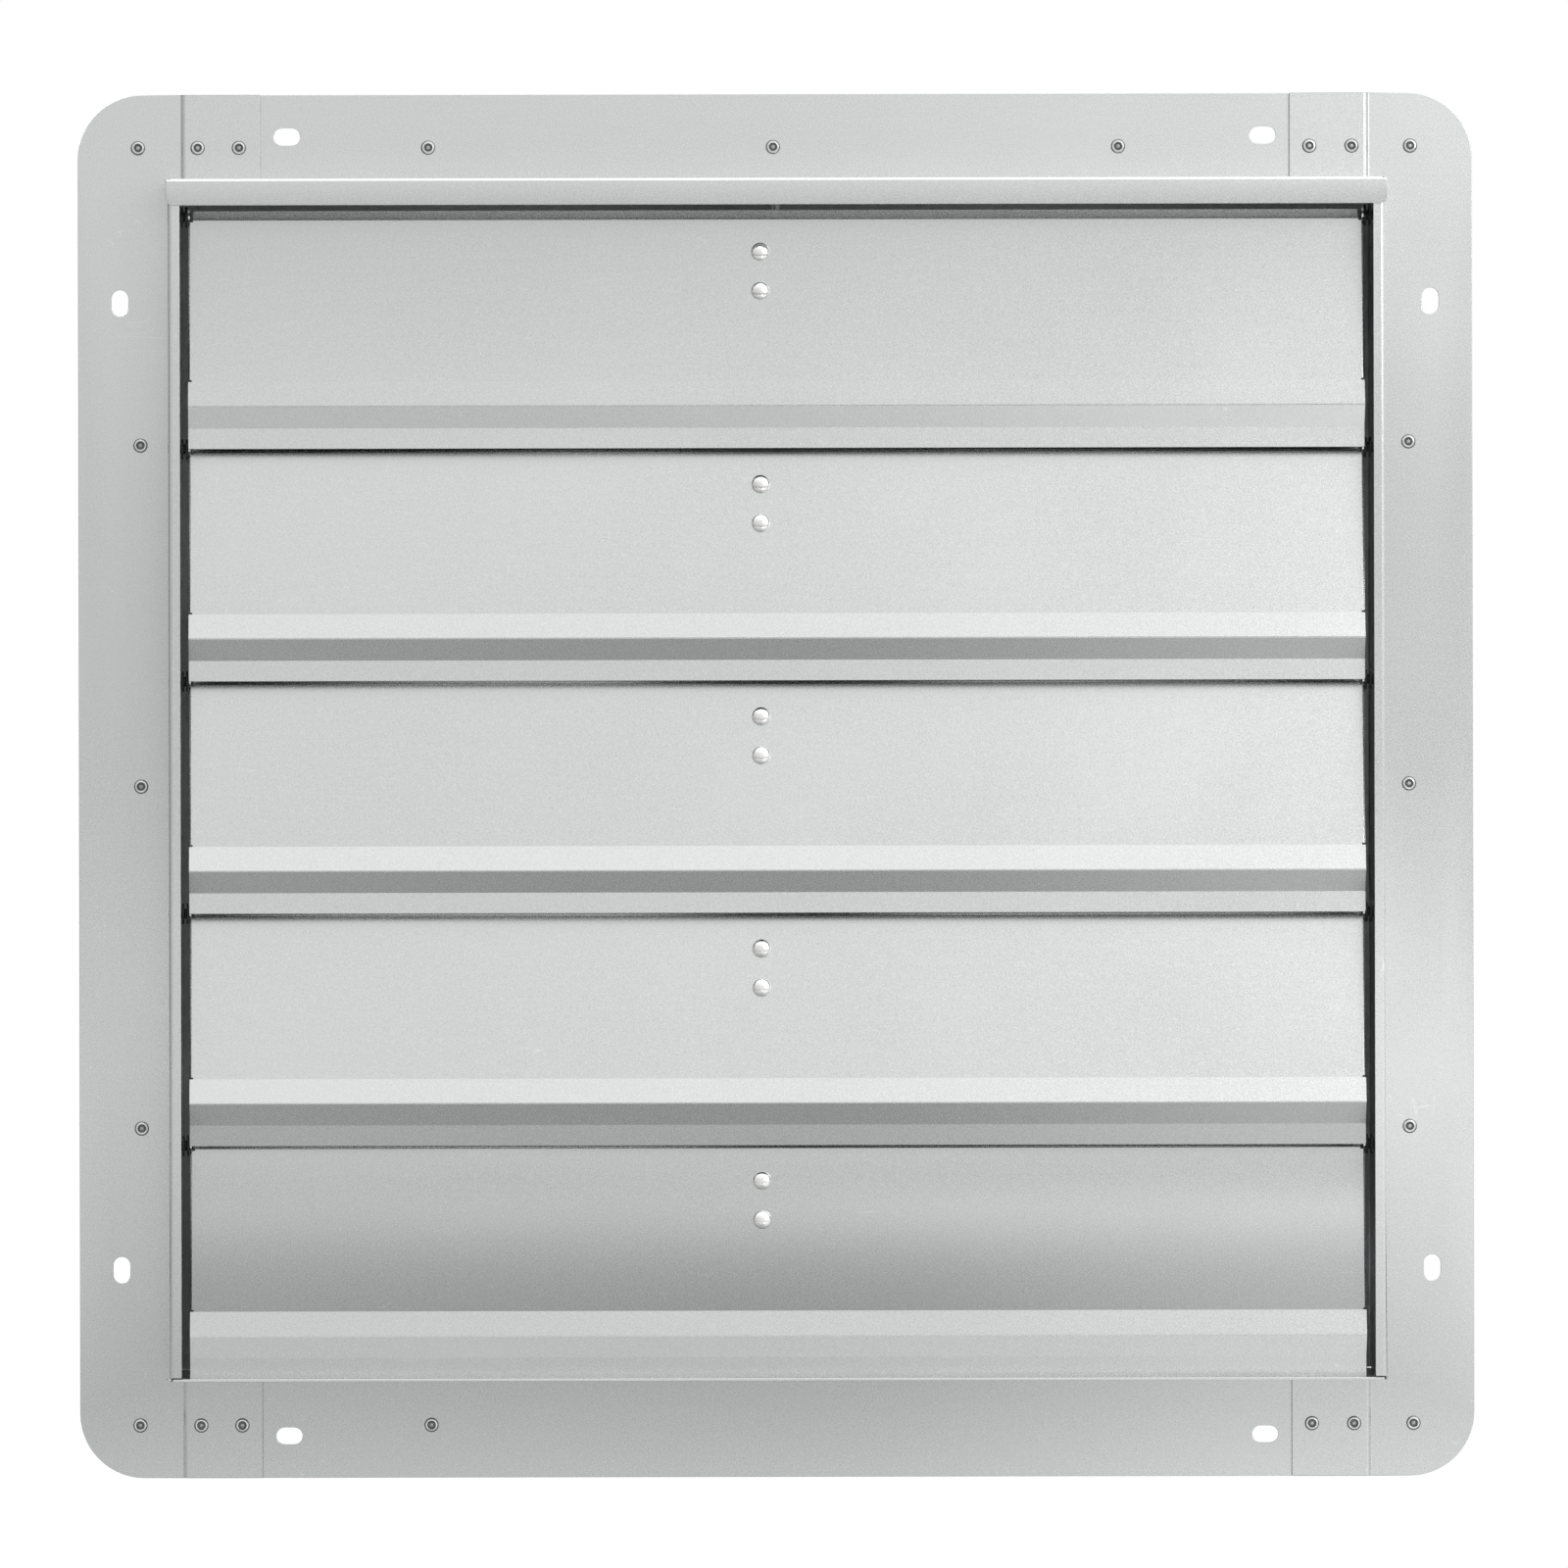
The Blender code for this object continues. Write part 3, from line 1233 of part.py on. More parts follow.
def cable_gland(entry, material):
    """Screwed gland at the box's entry, bored for the supply cable, its height along X."""
    wall_end = FIT
    nut_end = wall_end + GLAND_NUT_LENGTH
    tip_end = nut_end + GLAND_TIP_LENGTH
    profile = [
        (GLAND_BORE_RADIUS, -TERMINAL_WALL - GLAND_NECK_LENGTH),
        (GLAND_THREAD_RADIUS, -TERMINAL_WALL - GLAND_NECK_LENGTH),
        (GLAND_THREAD_RADIUS, wall_end),
        (GLAND_NUT_RADIUS, wall_end),
        (GLAND_NUT_RADIUS, nut_end),
        (GLAND_TIP_RADIUS, nut_end),
        (GLAND_TIP_RADIUS, tip_end),
        (GLAND_BORE_RADIUS, tip_end),
    ]
    item = turned("cable_gland", profile, SMALL_SIDES, material, entry, closed=True)
    item.rotation_euler = (0.0, 0.0, -math.pi / 2)
    return item


def main():
    clear_scene()
    frame = frame_material()
    housing = housing_material()
    zinc = zinc_material()
    motor = motor_material()
    plastic = plastic_material()
    frame_side("frame_left", -1, frame)
    frame_side("frame_right", 1, frame)
    frame_top(frame)
    frame_bottom(frame)
    louvers(louver_material())
    pivot_pins(nylon_material())
    louver_links(zinc, rivet_material())
    tie_bar(zinc)
    housing_side("housing_left", -1, housing)
    housing_side("housing_right", 1, housing)
    housing_level("housing_top", 1, housing)
    housing_level("housing_bottom", -1, housing)
    orifice_panel(housing)
    motor_strap("motor_strap_upper", 1, zinc)
    motor_strap("motor_strap_lower", -1, zinc)
    motor_parts(motor)
    shaft(steel_material())
    fan_hub(motor)
    fan_blades(blade_material())
    wire_guard(guard_material())
    entry = terminal_box(plastic)
    cable_gland(entry, plastic)


main()
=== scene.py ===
"""Shutter exhaust fan: the packed model dressed with folded sheets, fixings, wires and finishes.

The louvers face -Y and the fan stands behind them towards +Y. Lengths are metres.
"""

import json
import math

import bmesh
import bpy
import numpy as np
from bpy.props import FloatProperty, FloatVectorProperty, IntProperty, PointerProperty
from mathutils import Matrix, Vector
from mathutils.geometry import delaunay_2d_cdt


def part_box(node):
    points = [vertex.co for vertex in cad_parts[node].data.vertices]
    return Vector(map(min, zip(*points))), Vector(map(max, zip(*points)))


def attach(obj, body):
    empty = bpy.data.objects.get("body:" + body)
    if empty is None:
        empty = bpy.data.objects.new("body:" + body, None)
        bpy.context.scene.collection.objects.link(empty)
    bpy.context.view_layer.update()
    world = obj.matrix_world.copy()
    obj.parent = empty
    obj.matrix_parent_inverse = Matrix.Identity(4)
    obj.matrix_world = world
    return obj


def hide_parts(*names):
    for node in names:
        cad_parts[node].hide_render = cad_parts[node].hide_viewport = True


bl_info = {
    "name": "Shutter exhaust fan",
    "version": (1, 0, 0),
    "blender": (4, 5, 0),
    "location": "View3D > Sidebar > Shutter Fan",
    "description": "Dresses a wall fan with five gravity louvers in sheet, fixings and finishes",
    "category": "Object",
}

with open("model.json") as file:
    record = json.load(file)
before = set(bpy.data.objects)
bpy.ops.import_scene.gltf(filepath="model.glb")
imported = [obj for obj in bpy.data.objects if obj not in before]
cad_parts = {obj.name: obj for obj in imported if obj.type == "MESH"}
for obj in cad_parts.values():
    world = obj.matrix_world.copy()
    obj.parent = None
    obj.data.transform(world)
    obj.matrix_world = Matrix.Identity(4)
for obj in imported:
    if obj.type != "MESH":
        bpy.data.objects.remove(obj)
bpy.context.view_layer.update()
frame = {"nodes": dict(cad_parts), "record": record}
JOINTS = {joint["name"]: joint for joint in frame["record"]["behaviour"]["joints"]}

# Places read from the packed model
HALF_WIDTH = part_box("frame_right")[1].x
HALF_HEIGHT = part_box("frame_right")[1].z
BOX_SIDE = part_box("orifice_panel")[1].x
BOX_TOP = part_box("orifice_panel")[1].z
BOX_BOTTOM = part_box("orifice_panel")[0].z
RISE = (BOX_TOP + BOX_BOTTOM) / 2
PANEL_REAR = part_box("orifice_panel")[1].y
THROAT_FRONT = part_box("orifice_panel")[0].y
HINGES = [np.array(JOINTS[f"louver_{n}_hinge"]["pos_m"]) for n in range(1, 6)]
FAN_CENTRE = np.array(JOINTS["fan_spin"]["pos_m"])
MOTOR_AXIS = np.array([0.0, 0.0, RISE])
X, Y, Z = np.eye(3)
DIAGONAL = math.sqrt(0.5)

# Places and sizes that several pieces share
FIT = 0.0003
SHEET_HALF = 0.0006
FLANGE_Y = -0.0021
LAP_Y = -0.0036
LIP_Y = -0.0444
HOOD_Y = -0.0459
LAP_LINE = BOX_SIDE - 0.00575
LAP_STEP = LAP_LINE - 0.0015
LAP_END = LAP_LINE - 0.0354
SLOT_EDGE = 0.0188
SLOT_LENGTH, SLOT_WIDTH = 0.0118, 0.0076
LEVEL_SLOT_X = HALF_WIDTH - 0.0938
UPRIGHT_SLOT_Z = HALF_HEIGHT - 0.0933
RIVET_FRAME_SIDE = HALF_WIDTH - 0.0235
RIVET_FRAME_END = HALF_HEIGHT - 0.0210
HOUSING_REAR = 0.085
REAR_FLANGE = 0.0105
STRAP_SHEET = 0.0025
STRAP_FOOT_REAR = PANEL_REAR + FIT + STRAP_SHEET
STRAP_RISE = 0.0400
FLANGE_LEAN = math.radians(5.0)
SILL_LEAN = math.radians(11.0)


# Settings


def length(name, default, description):
    """Length property in metres."""
    return FloatProperty(
        name=name, default=default, description=description, unit="LENGTH", precision=5, min=0.0
    )


def colour(name, default, description):
    """Colour property."""
    return FloatVectorProperty(
        name=name, default=default, description=description, subtype="COLOR", min=0.0, max=1.0
    )


def amount(name, default, description):
    """Number property, not negative."""
    return FloatProperty(name=name, default=default, description=description, min=0.0)


class SheetSizes(bpy.types.PropertyGroup):
    """Sizes of the folded sheet pieces"""

    frame_sheet: length("Frame sheet", 0.0012, "Thickness of the flange and the box")
    louver_sheet: length("Louver sheet", 0.0009, "Thickness of the louvers")
    link_sheet: length("Link sheet", 0.0012, "Thickness of the link brackets")
    strap_sheet: length("Strap sheet", STRAP_SHEET, "Thickness of the motor straps")
    bend_radius: length("Bend radius", 0.0016, "Radius of the folds, at the middle of the sheet")
    hood_bend: length(
        "Hood bend radius", 0.0009, "Radius of the hood's fold, at the middle of the sheet"
    )
    louver_bend: length("Louver bend radius", 0.0006, "Radius of the louvers' folds")
    cut_round: length("Cut edge rounding", 0.00022, "Rounding of the cut edges")
    flange_corner: length("Flange corner radius", 0.029, "Radius of the four flange corners")


class FixingSizes(bpy.types.PropertyGroup):
    """Sizes of rivets, pins and screws"""

    dome_radius: length("Louver rivet radius", 0.0041, "Head radius of the domed louver rivets")
    dome_height: length("Louver rivet height", 0.0023, "Head height of the domed louver rivets")
    pop_radius: length("Pop rivet radius", 0.0032, "Head radius of the flange rivets")
    pop_height: length("Pop rivet height", 0.0011, "Head height of the flange rivets")
    collar_radius: length("Pin collar radius", 0.0046, "Collar radius of the nylon pivot pins")


class FanSizes(bpy.types.PropertyGroup):
    """Sizes of the fan, its motor and the guard"""

    tip_radius: length("Blade tip radius", 0.245, "Distance of the blade tips from the axis")
    blade_sheet: length("Blade sheet", 0.0016, "Thickness of the blades")
    motor_radius: length("Motor radius", 0.060, "Radius of the motor shell")
    guard_wire: length("Guard wire radius", 0.0016, "Radius of the guard's wires")
    guard_rings: IntProperty(
        name="Guard rings", default=12, min=4, description="Rings inside the rim"
    )


class FinishColours(bpy.types.PropertyGroup):
    """Colours of the finishes"""

    frame: colour("Frame", (0.730, 0.744, 0.740), "Satin sheet of flange, hood and box")
    louver: colour("Louvers", (0.640, 0.652, 0.648), "Satin sheet of the louvers")
    housing: colour("Housing", (0.56, 0.575, 0.58), "Galvanised sheet behind the flange")
    zinc: colour("Zinc", (0.52, 0.53, 0.54), "Zinc-plated links and straps")
    rivet: colour("Rivets", (0.93, 0.93, 0.92), "Bright rivet heads")
    blade: colour("Blades", (0.68, 0.69, 0.69), "Pressed aluminium blades")
    nylon: colour("Nylon", (0.012, 0.012, 0.013), "Pivot pins and gland")
    motor: colour("Motor", (0.018, 0.019, 0.021), "Black enamel")
    guard: colour("Guard", (0.014, 0.014, 0.015), "Black powder coat")


class StageSettings(bpy.types.PropertyGroup):
    """Camera, light and floor"""

    camera_distance: length("Camera distance", 8.0, "Camera in front of the wall plane")
    camera_left: length(
        "Camera offset", 0.13, "Camera to the left of the middle, its picture shifted back"
    )
    view_width: length("View width", 0.7032, "Width seen at the wall plane")
    camera_roll: FloatProperty(
        name="Camera roll",
        default=math.radians(0.12),
        subtype="ANGLE",
        description="Tilt of the picture",
    )
    floor_drop: length("Floor drop", 0.46, "Floor below the middle of the flange")
    key_power: amount("Key light", 25.0, "Power of the key light in watts")
    top_power: amount("Top light", 2.0, "Power of the top light in watts")
    rear_power: amount("Rear light", 30.0, "Power of the rear light in watts")
    sky: amount("Room light", 1.4, "Strength of the light from all sides")
    low_sky: amount("Light from below", 0.18, "Share of the room light from below")
    level_sky: amount("Level light", 0.57, "Share of the room light from eye level")
    high_sky: amount("Light from above", 0.63, "Share of the room light from a little above")
    rear_sky: amount("Light from behind", 0.16, "Share of the room light from behind the wall")
    slant: amount("Slant", 0.30, "How much brighter the right is than the left")


# Shapes as arrays


class Shape:
    """Closed surface: points, outward normals, mark of cut edges, and arrays of faces."""

    def __init__(self, points, normals, faces, cut=None):
        self.points = np.asarray(points, float).reshape(-1, 3)
        self.normals = np.asarray(normals, float).reshape(-1, 3)
        self.faces = [np.asarray(block, int) for block in faces if len(block)]
        self.cut = np.zeros(len(self.points)) if cut is None else np.asarray(cut, float).ravel()

    def moved(self, matrix):
        """The shape carried by a rigid 4 by 4 matrix."""
        matrix = np.asarray(matrix, float)
        turn = matrix[:3, :3]
        points = self.points @ turn.T + matrix[:3, 3]
        return Shape(points, self.normals @ turn.T, self.faces, self.cut)


def joined(shapes):
    """Several shapes as one, their face numbers shifted by the points before them."""
    starts = np.cumsum([0] + [len(shape.points) for shape in shapes[:-1]])
    faces = [block + start for shape, start in zip(shapes, starts) for block in shape.faces]
    points = np.concatenate([shape.points for shape in shapes])
    normals = np.concatenate([shape.normals for shape in shapes])
    return Shape(points, normals, faces, np.concatenate([shape.cut for shape in shapes]))


def placed(centre, axis, start=None):
    """Matrix whose Z column is the axis, at a centre; start steers the X column."""
    axis = np.asarray(axis, float) / np.linalg.norm(axis)
    guide = np.asarray(start if start is not None else (X if abs(axis[0]) < 0.9 else Z), float)
    side = guide - axis * (guide @ axis)
    side /= np.linalg.norm(side)
    matrix = np.eye(4)
    matrix[:3] = np.stack([side, np.cross(axis, side), axis, np.asarray(centre, float)], 1)
    return matrix


def facing_out(shape):
    """Turn each block of faces to its normals, then the whole shape if its volume is negative."""
    faces, volume = [], 0.0
    for block in shape.faces:
        corners = shape.points[block]
        square = np.cross(corners[:, 2] - corners[:, 0], corners[:, -1] - corners[:, 1])
        if block.shape[1] == 3:
            square = np.cross(corners[:, 1] - corners[:, 0], corners[:, 2] - corners[:, 0])
        if (square * shape.normals[block].sum(1)).sum() < 0:
            block = block[:, ::-1]
        corners = shape.points[block]
        volume += np.einsum("ij,ij->", corners[:, 0], np.cross(corners[:, 1], corners[:, 2]))
        if block.shape[1] == 4:
            volume += np.einsum("ij,ij->", corners[:, 0], np.cross(corners[:, 2], corners[:, 3]))
        faces.append(block)
    if volume < 0:
        faces = [block[:, ::-1] for block in faces]
        return Shape(shape.points, -shape.normals, faces, shape.cut)
    return Shape(shape.points, shape.normals, faces, shape.cut)


def grid_shape(points, normals, wrap=(False, False), poles=(False, False), cut=None):
    """Grid of points as quads; a pole row is one point whose quads are triangles."""
    rows, columns = points.shape[:2]
    index = np.arange(rows * columns).reshape(rows, columns)
    if poles[0]:
        index[0] = index[0, 0]
    if poles[1]:
        index[-1] = index[-1, 0]
    down = np.concatenate([index, index[:1]]) if wrap[0] else index
    full = np.concatenate([down, down[:, :1]], 1) if wrap[1] else down
    quads = np.stack([full[:-1, :-1], full[:-1, 1:], full[1:, 1:], full[1:, :-1]], -1)
    triangles = []
    if poles[0]:
        triangles.append(quads[0][:, [0, 2, 3]])
        quads = quads[1:]
    if poles[1]:
        triangles.append(quads[-1][:, [0, 1, 2]])
        quads = quads[:-1]
    return Shape(points, normals, [quads.reshape(-1, 4)] + triangles, cut)


class Section:
    """Line through corners (a, b), each rounded by an arc, measured along its own length.

    A straight run stops radius * tan(turn / 2) short of its corner. The arc is its start plus
    radius * (sin a - sin a0, cos a0 - cos a), for a heading a that turns from a0.
    """

    def __init__(self, corners, radius, steps=5):
        corners = np.asarray(corners, float)
        runs = np.diff(corners, axis=0)
        spans = np.hypot(*runs.T)
        heading = np.unwrap(np.arctan2(runs[:, 1], runs[:, 0]))
        turns = np.diff(heading)
        radii = np.broadcast_to(radius, turns.shape).astype(float)
        room = 0.49 * np.minimum(spans[:-1], spans[1:])
        half_turn = np.maximum(np.tan(np.abs(turns) / 2), 1e-9)
        radii = np.minimum(radii, room / half_turn)
        self.cuts = np.concatenate([[0.0], radii * half_turn, [0.0]])
        points, angles, marks = [corners[0]], [heading[0]], [0.0]
        self.leave, folds = [0.0], []
        share = np.linspace(0.0, 1.0, steps + 1)
        for k, turn in enumerate(turns):
            mark = marks[-1] + spans[k] - self.cuts[k] - self.cuts[k + 1]
            ahead = np.array([math.cos(heading[k]), math.sin(heading[k])])
            base = corners[k + 1] - self.cuts[k + 1] * ahead
            angle = heading[k] + turn * share
            swing = np.stack(
                [np.sin(angle) - np.sin(angle[0]), np.cos(angle[0]) - np.cos(angle)], 1
            )
            stops = mark + abs(turn) * radii[k] * share
            points.extend(base + np.sign(turn) * radii[k] * swing)
            angles.extend(angle)
            marks.extend(stops)
            folds.extend(stops)
            self.leave.append(stops[-1])
        marks.append(marks[-1] + spans[-1] - self.cuts[-2])
        self.points = np.array(points + [corners[-1]])
        self.angles = np.array(angles + [heading[-1]])
        self.marks = np.array(marks)
        self.folds = np.array(folds)

    def at(self, mark):
        """Point and heading at a mark."""
        point = np.stack([np.interp(mark, self.marks, self.points[:, k]) for k in (0, 1)], -1)
        return point, np.interp(mark, self.marks, self.angles)

    def station(self, corner, distance):
        """Mark on the run that leaves a corner, at a distance from that corner."""
        return self.leave[corner] + distance - self.cuts[corner]


def carried(section, carry, first, second, origin=(0.0, 0.0, 0.0)):
    """Fold of a blank (u, s): u along carry, s along the section in the plane first, second."""
    carry, first, second, origin = (np.asarray(v, float) for v in (carry, first, second, origin))

    def fold(u, s):
        point, angle = section.at(s)
        cos, sin = np.cos(angle)[:, None], np.sin(angle)[:, None]
        place = origin + u[:, None] * carry + point[:, :1] * first + point[:, 1:] * second
        along_u, along_s = np.broadcast_to(carry, place.shape), cos * first + sin * second
        return place, along_u, along_s, cos * second - sin * first

    return fold


def full_turn(sides):
    """Angles of one turn, without its end."""
    return np.linspace(0.0, 2 * np.pi, sides, endpoint=False)


def upright_ring(sides):
    """Unit circle round the fan axis: (cos t, 0, sin t)."""
    angle = full_turn(sides)
    return np.stack([np.cos(angle), np.zeros(sides), np.sin(angle)], 1)


def smooth_step(share):
    """Ease from 0 to 1: t^2 (3 - 2 t) of the share t, held between 0 and 1."""
    share = np.clip(share, 0, 1)
    return share**2 * (3 - 2 * share)


def circle(centre, radius, sides=24):
    """Closed loop of a circle."""
    angle = full_turn(sides)
    return np.stack([centre[0] + radius * np.cos(angle), centre[1] + radius * np.sin(angle)], 1)


def long_hole(centre, length_u, width, sides=10):
    """Closed loop of a slot with round ends, long in u."""
    radius, straight = width / 2, (length_u - width) / 2
    half = np.linspace(-np.pi / 2, np.pi / 2, sides)
    right = np.stack([straight + radius * np.cos(half), radius * np.sin(half)], 1)
    return np.concatenate([right, -right]) + np.asarray(centre)


def corner_arc(centre, radius, start, end, steps=14):
    """Open run of points on a circle between two angles in degrees."""
    angle = np.radians(np.linspace(start, end, steps + 1))
    return np.stack([centre[0] + radius * np.cos(angle), centre[1] + radius * np.sin(angle)], 1)


def softened(loop, radius, steps=3):
    """Loop whose corners sharper than 20 degrees become short curves.

    Each curve is the parabola (1-q)^2 A + 2 q (1-q) P + q^2 B from edge to edge round the corner P.
    """
    before, after = loop - np.roll(loop, 1, 0), np.roll(loop, -1, 0) - loop
    spans = np.minimum(np.hypot(*before.T), np.hypot(*after.T))
    before = before / np.hypot(*before.T)[:, None]
    after = after / np.hypot(*after.T)[:, None]
    across = before[:, 0] * after[:, 1] - before[:, 1] * after[:, 0]
    turn = np.abs(np.arctan2(across, (before * after).sum(1)))
    cut = np.minimum(radius * np.tan(np.minimum(turn, 3.0) / 2), 0.45 * spans)[:, None]
    q = np.linspace(0.0, 1.0, steps + 1)[None, :, None]
    start, end = (loop - before * cut)[:, None], (loop + after * cut)[:, None]
    curve = (1 - q) ** 2 * start + 2 * q * (1 - q) * loop[:, None] + q**2 * end
    keep = np.ones(curve.shape[:2], bool)
    flat = turn < math.radians(20)
    keep[flat, 1:] = False
    curve[flat, 0] = loop[flat]
    return curve[keep]


def split_loop(loop, line, margin):
    """Loop with a new point where it crosses a fold line, none within the margin of a corner."""
    axis, values, low, high = line
    ahead = np.roll(loop, -1, 0)
    margin = np.minimum(margin / np.maximum(np.hypot(*(ahead - loop).T), 1e-9), 0.5)
    with np.errstate(divide="ignore", invalid="ignore"):
        share = (values[:, None] - loop[:, axis]) / (ahead[:, axis] - loop[:, axis])
        other = loop[:, 1 - axis] + share * (ahead - loop)[:, 1 - axis]
        number, edge = np.nonzero(
            (share > margin) & (share < 1 - margin) & (other > low) & (other < high)
        )
    share = share[number, edge]
    fresh = loop[edge] + share[:, None] * (ahead[edge] - loop[edge])
    fresh[:, axis] = values[number]
    order = np.argsort(np.concatenate([np.arange(len(loop)), edge + share]), kind="stable")
    return np.concatenate([loop, fresh])[order]


def inside(points, loops):
    """Which points lie inside the loops, by counting the edges crossed on the way out."""
    crossed = np.zeros(len(points), int)
    for loop in loops:
        near, far = loop, np.roll(loop, -1, 0)
        x, y = points[:, :1], points[:, 1:]
        spans = (near[:, 1] > y) != (far[:, 1] > y)
        with np.errstate(divide="ignore", invalid="ignore"):
            meet = (
                near[:, 0] + (y - near[:, 1]) * (far[:, 0] - near[:, 0]) / (far[:, 1] - near[:, 1])
            )
            crossed += (spans & (x < meet)).sum(1)
    return crossed % 2 == 1


def loop_normals(loop):
    """Outward normal at each point of a loop, weighted by edge length, and its mitre."""
    ahead = np.roll(loop, -1, 0) - loop
    spans = np.hypot(*ahead.T)[:, None]
    out = np.stack([ahead[:, 1], -ahead[:, 0]], 1) / spans
    last, last_span = np.roll(out, 1, 0), np.roll(spans, 1, 0)
    mitre = (out + last) / np.maximum(1 + (out * last).sum(1), 0.3)[:, None]
    mean = out * spans + last * last_span
    return mean / np.linalg.norm(mean, axis=1)[:, None], mitre


def line_edges(flat, loops, line):
    """Pairs of loop points that one fold line joins across the blank."""
    axis, values, low, high = line
    pairs = []
    source = np.concatenate(loops)
    for value in values:
        reach = (source[:, 1 - axis] > low) & (source[:, 1 - axis] < high)
        hits = np.nonzero((np.abs(source[:, axis] - value) < 1e-9) & reach)[0]
        hits = hits[np.argsort(flat[hits, 1 - axis])]
        if len(hits) < 2:
            continue
        near, far = hits[:-1], hits[1:]
        apart = np.abs(flat[far, 1 - axis] - flat[near, 1 - axis]) > 1e-7
        good = inside((flat[near] + flat[far]) / 2, loops) & apart
        pairs.extend(zip(near[good].tolist(), far[good].tolist()))
    return pairs


def across_blank(values, low=-1.0, high=1.0):
    """Fold lines at marks s, between two places u."""
    return 1, np.asarray(values, float), low, high


def along_blank(values, low=-1.0, high=1.0):
    """Fold lines at places u, between two marks s."""
    return 0, np.asarray(values, float), low, high


def folded_sheet(
    outline, fold, thickness, lines=(), holes=(), edge=0.00022, soften=0.0005, spring=None
):
    """Flat blank with holes, folded and thickened.

    A point of the blank goes to fold(u, s) + w * normal for w from -thickness/2 to thickness/2. Its
    rim is a half-round of the edge radius, carried round each loop along the loop's outward normal.
    spring(u, s) gives the small turn w by which the sheet's normals lean: n + w x n.
    """
    loops = [softened(np.asarray(loop, float), soften) for loop in (outline, *holes)]
    for number, loop in enumerate(loops):
        ahead = np.roll(loop, -1, 0)
        area = (loop[:, 0] * ahead[:, 1] - loop[:, 1] * ahead[:, 0]).sum()
        if (area < 0) == (number == 0):
            loop = loop[::-1]
        for line in lines:
            loop = split_loop(loop, line, 0.4 * edge)
        loops[number] = loop
    sizes = [len(loop) for loop in loops]
    starts = np.cumsum([0] + sizes[:-1])
    total = sum(sizes)
    flat = np.concatenate(loops)
    pairs = [loop_normals(loop) for loop in loops]
    out2 = np.concatenate([pair[0] for pair in pairs])
    mitre = np.concatenate([pair[1] for pair in pairs])
    half, bevel = thickness / 2, edge * (1 - DIAGONAL)
    upper = [(edge, half, 1.0, 0.0, 0.0), (bevel, half - bevel, DIAGONAL, DIAGONAL, 1.0)]
    upper.append((0.0, half - edge, 0.0, 1.0, 1.0))
    rings = upper + [
        (inset, -height, -up, out, mark) for inset, height, up, out, mark in upper[::-1]
    ]
    points, normals, cut = [], [], []
    for inset, height, up, out, mark in rings:
        here = flat - mitre * inset
        place, along_u, along_s, normal = fold(here[:, 0], here[:, 1])
        normal_lean = 0.0 if spring is None else np.cross(spring(here[:, 0], here[:, 1]), normal)
        outward = out2[:, :1] * along_u + out2[:, 1:] * along_s
        points.append(place + height * normal)
        normals.append(up * (normal + normal_lean) + out * outward)
        cut.append(np.full(total, mark))
    quads = []
    for start, size in zip(starts, sizes):
        here = start + np.arange(size)
        following = start + (np.arange(size) + 1) % size
        for ring in range(len(rings) - 1):
            low, high = ring * total, (ring + 1) * total
            quads.append(np.stack([here + low, following + low, following + high, here + high], 1))
    capped = flat - mitre * edge
    edges = []
    for start, size in zip(starts, sizes):
        edges.extend((int(start + k), int(start + (k + 1) % size)) for k in range(size))
    for line in lines:
        edges += line_edges(capped, loops, line)
    found = delaunay_2d_cdt([Vector(p) for p in capped * 1000], edges, [], 1, 1e-6)
    spots = np.array([v[:] for v in found[0]]) / 1000
    origin = np.array([o[0] if o else -1 for o in found[3]])
    triangles = np.array([t[:3] for t in found[2]])
    corners = spots[triangles]
    triangles = triangles[
        ~inside(corners.mean(1), [capped[a : a + n] for a, n in zip(starts[1:], sizes[1:])])
    ]
    lost = np.nonzero(origin < 0)[0]
    if len(lost):
        place, _, _, normal = fold(spots[lost, 0], spots[lost, 1])
        points += [place + half * normal, place - half * normal]
        normals += [normal, -normal]
        cut += [np.zeros(len(lost)), np.zeros(len(lost))]
    upper, lower = origin.copy(), origin + total * (len(rings) - 1)
    upper[lost] = total * len(rings) + np.arange(len(lost))
    lower[lost] = total * len(rings) + len(lost) + np.arange(len(lost))
    faces = [np.concatenate(quads), upper[triangles], lower[triangles][:, ::-1]]
    return Shape(np.concatenate(points), np.concatenate(normals), faces, np.concatenate(cut))


def bent_sheet(
    section, axes, outline, thickness, holes=(), edge=0.00022, soften=0.0005, spring=None,
    origin=(0, 0, 0)
):
    """Folded sheet of one section all along; axes are the carry and its plane's directions."""
    fold = carried(section, *axes, origin)
    return folded_sheet(
        outline, fold, thickness, [across_blank(section.folds)], holes, edge, soften, spring
    )


def turned(corners, sides=32, rounding=0.0002, steps=3, lobes=None):
    """Turned part: (r cos t, r sin t, h) for each point (r, h) of a profile with rounded corners.

    lobes, where given, is a factor on r for each of the sides, as on a hexagon nut.
    """
    section = Section(corners, rounding, steps)
    closed = corners[0][0] > 1e-9
    last = -1 if closed else None
    (radius, height), headings = section.points[:last].T, section.angles[:last]
    angle = full_turn(sides)
    factor = np.ones(sides) if lobes is None else lobes(angle)
    ring = np.stack([np.cos(angle), np.sin(angle), np.zeros(sides)], 1)
    points = radius[:, None, None] * factor[None, :, None] * ring + height[:, None, None] * Z
    out, up = np.sin(headings), -np.cos(headings)
    normals = out[:, None, None] * ring + up[:, None, None] * Z
    return grid_shape(points, normals, (closed, True), (not closed, not closed))


def hexagon(angle):
    """Radius factor of a hexagon against its circle between the flats, its corners eased."""
    turn = (angle + np.pi / 6) % (np.pi / 3) - np.pi / 6
    return np.minimum(1 / np.cos(turn), 1.12)


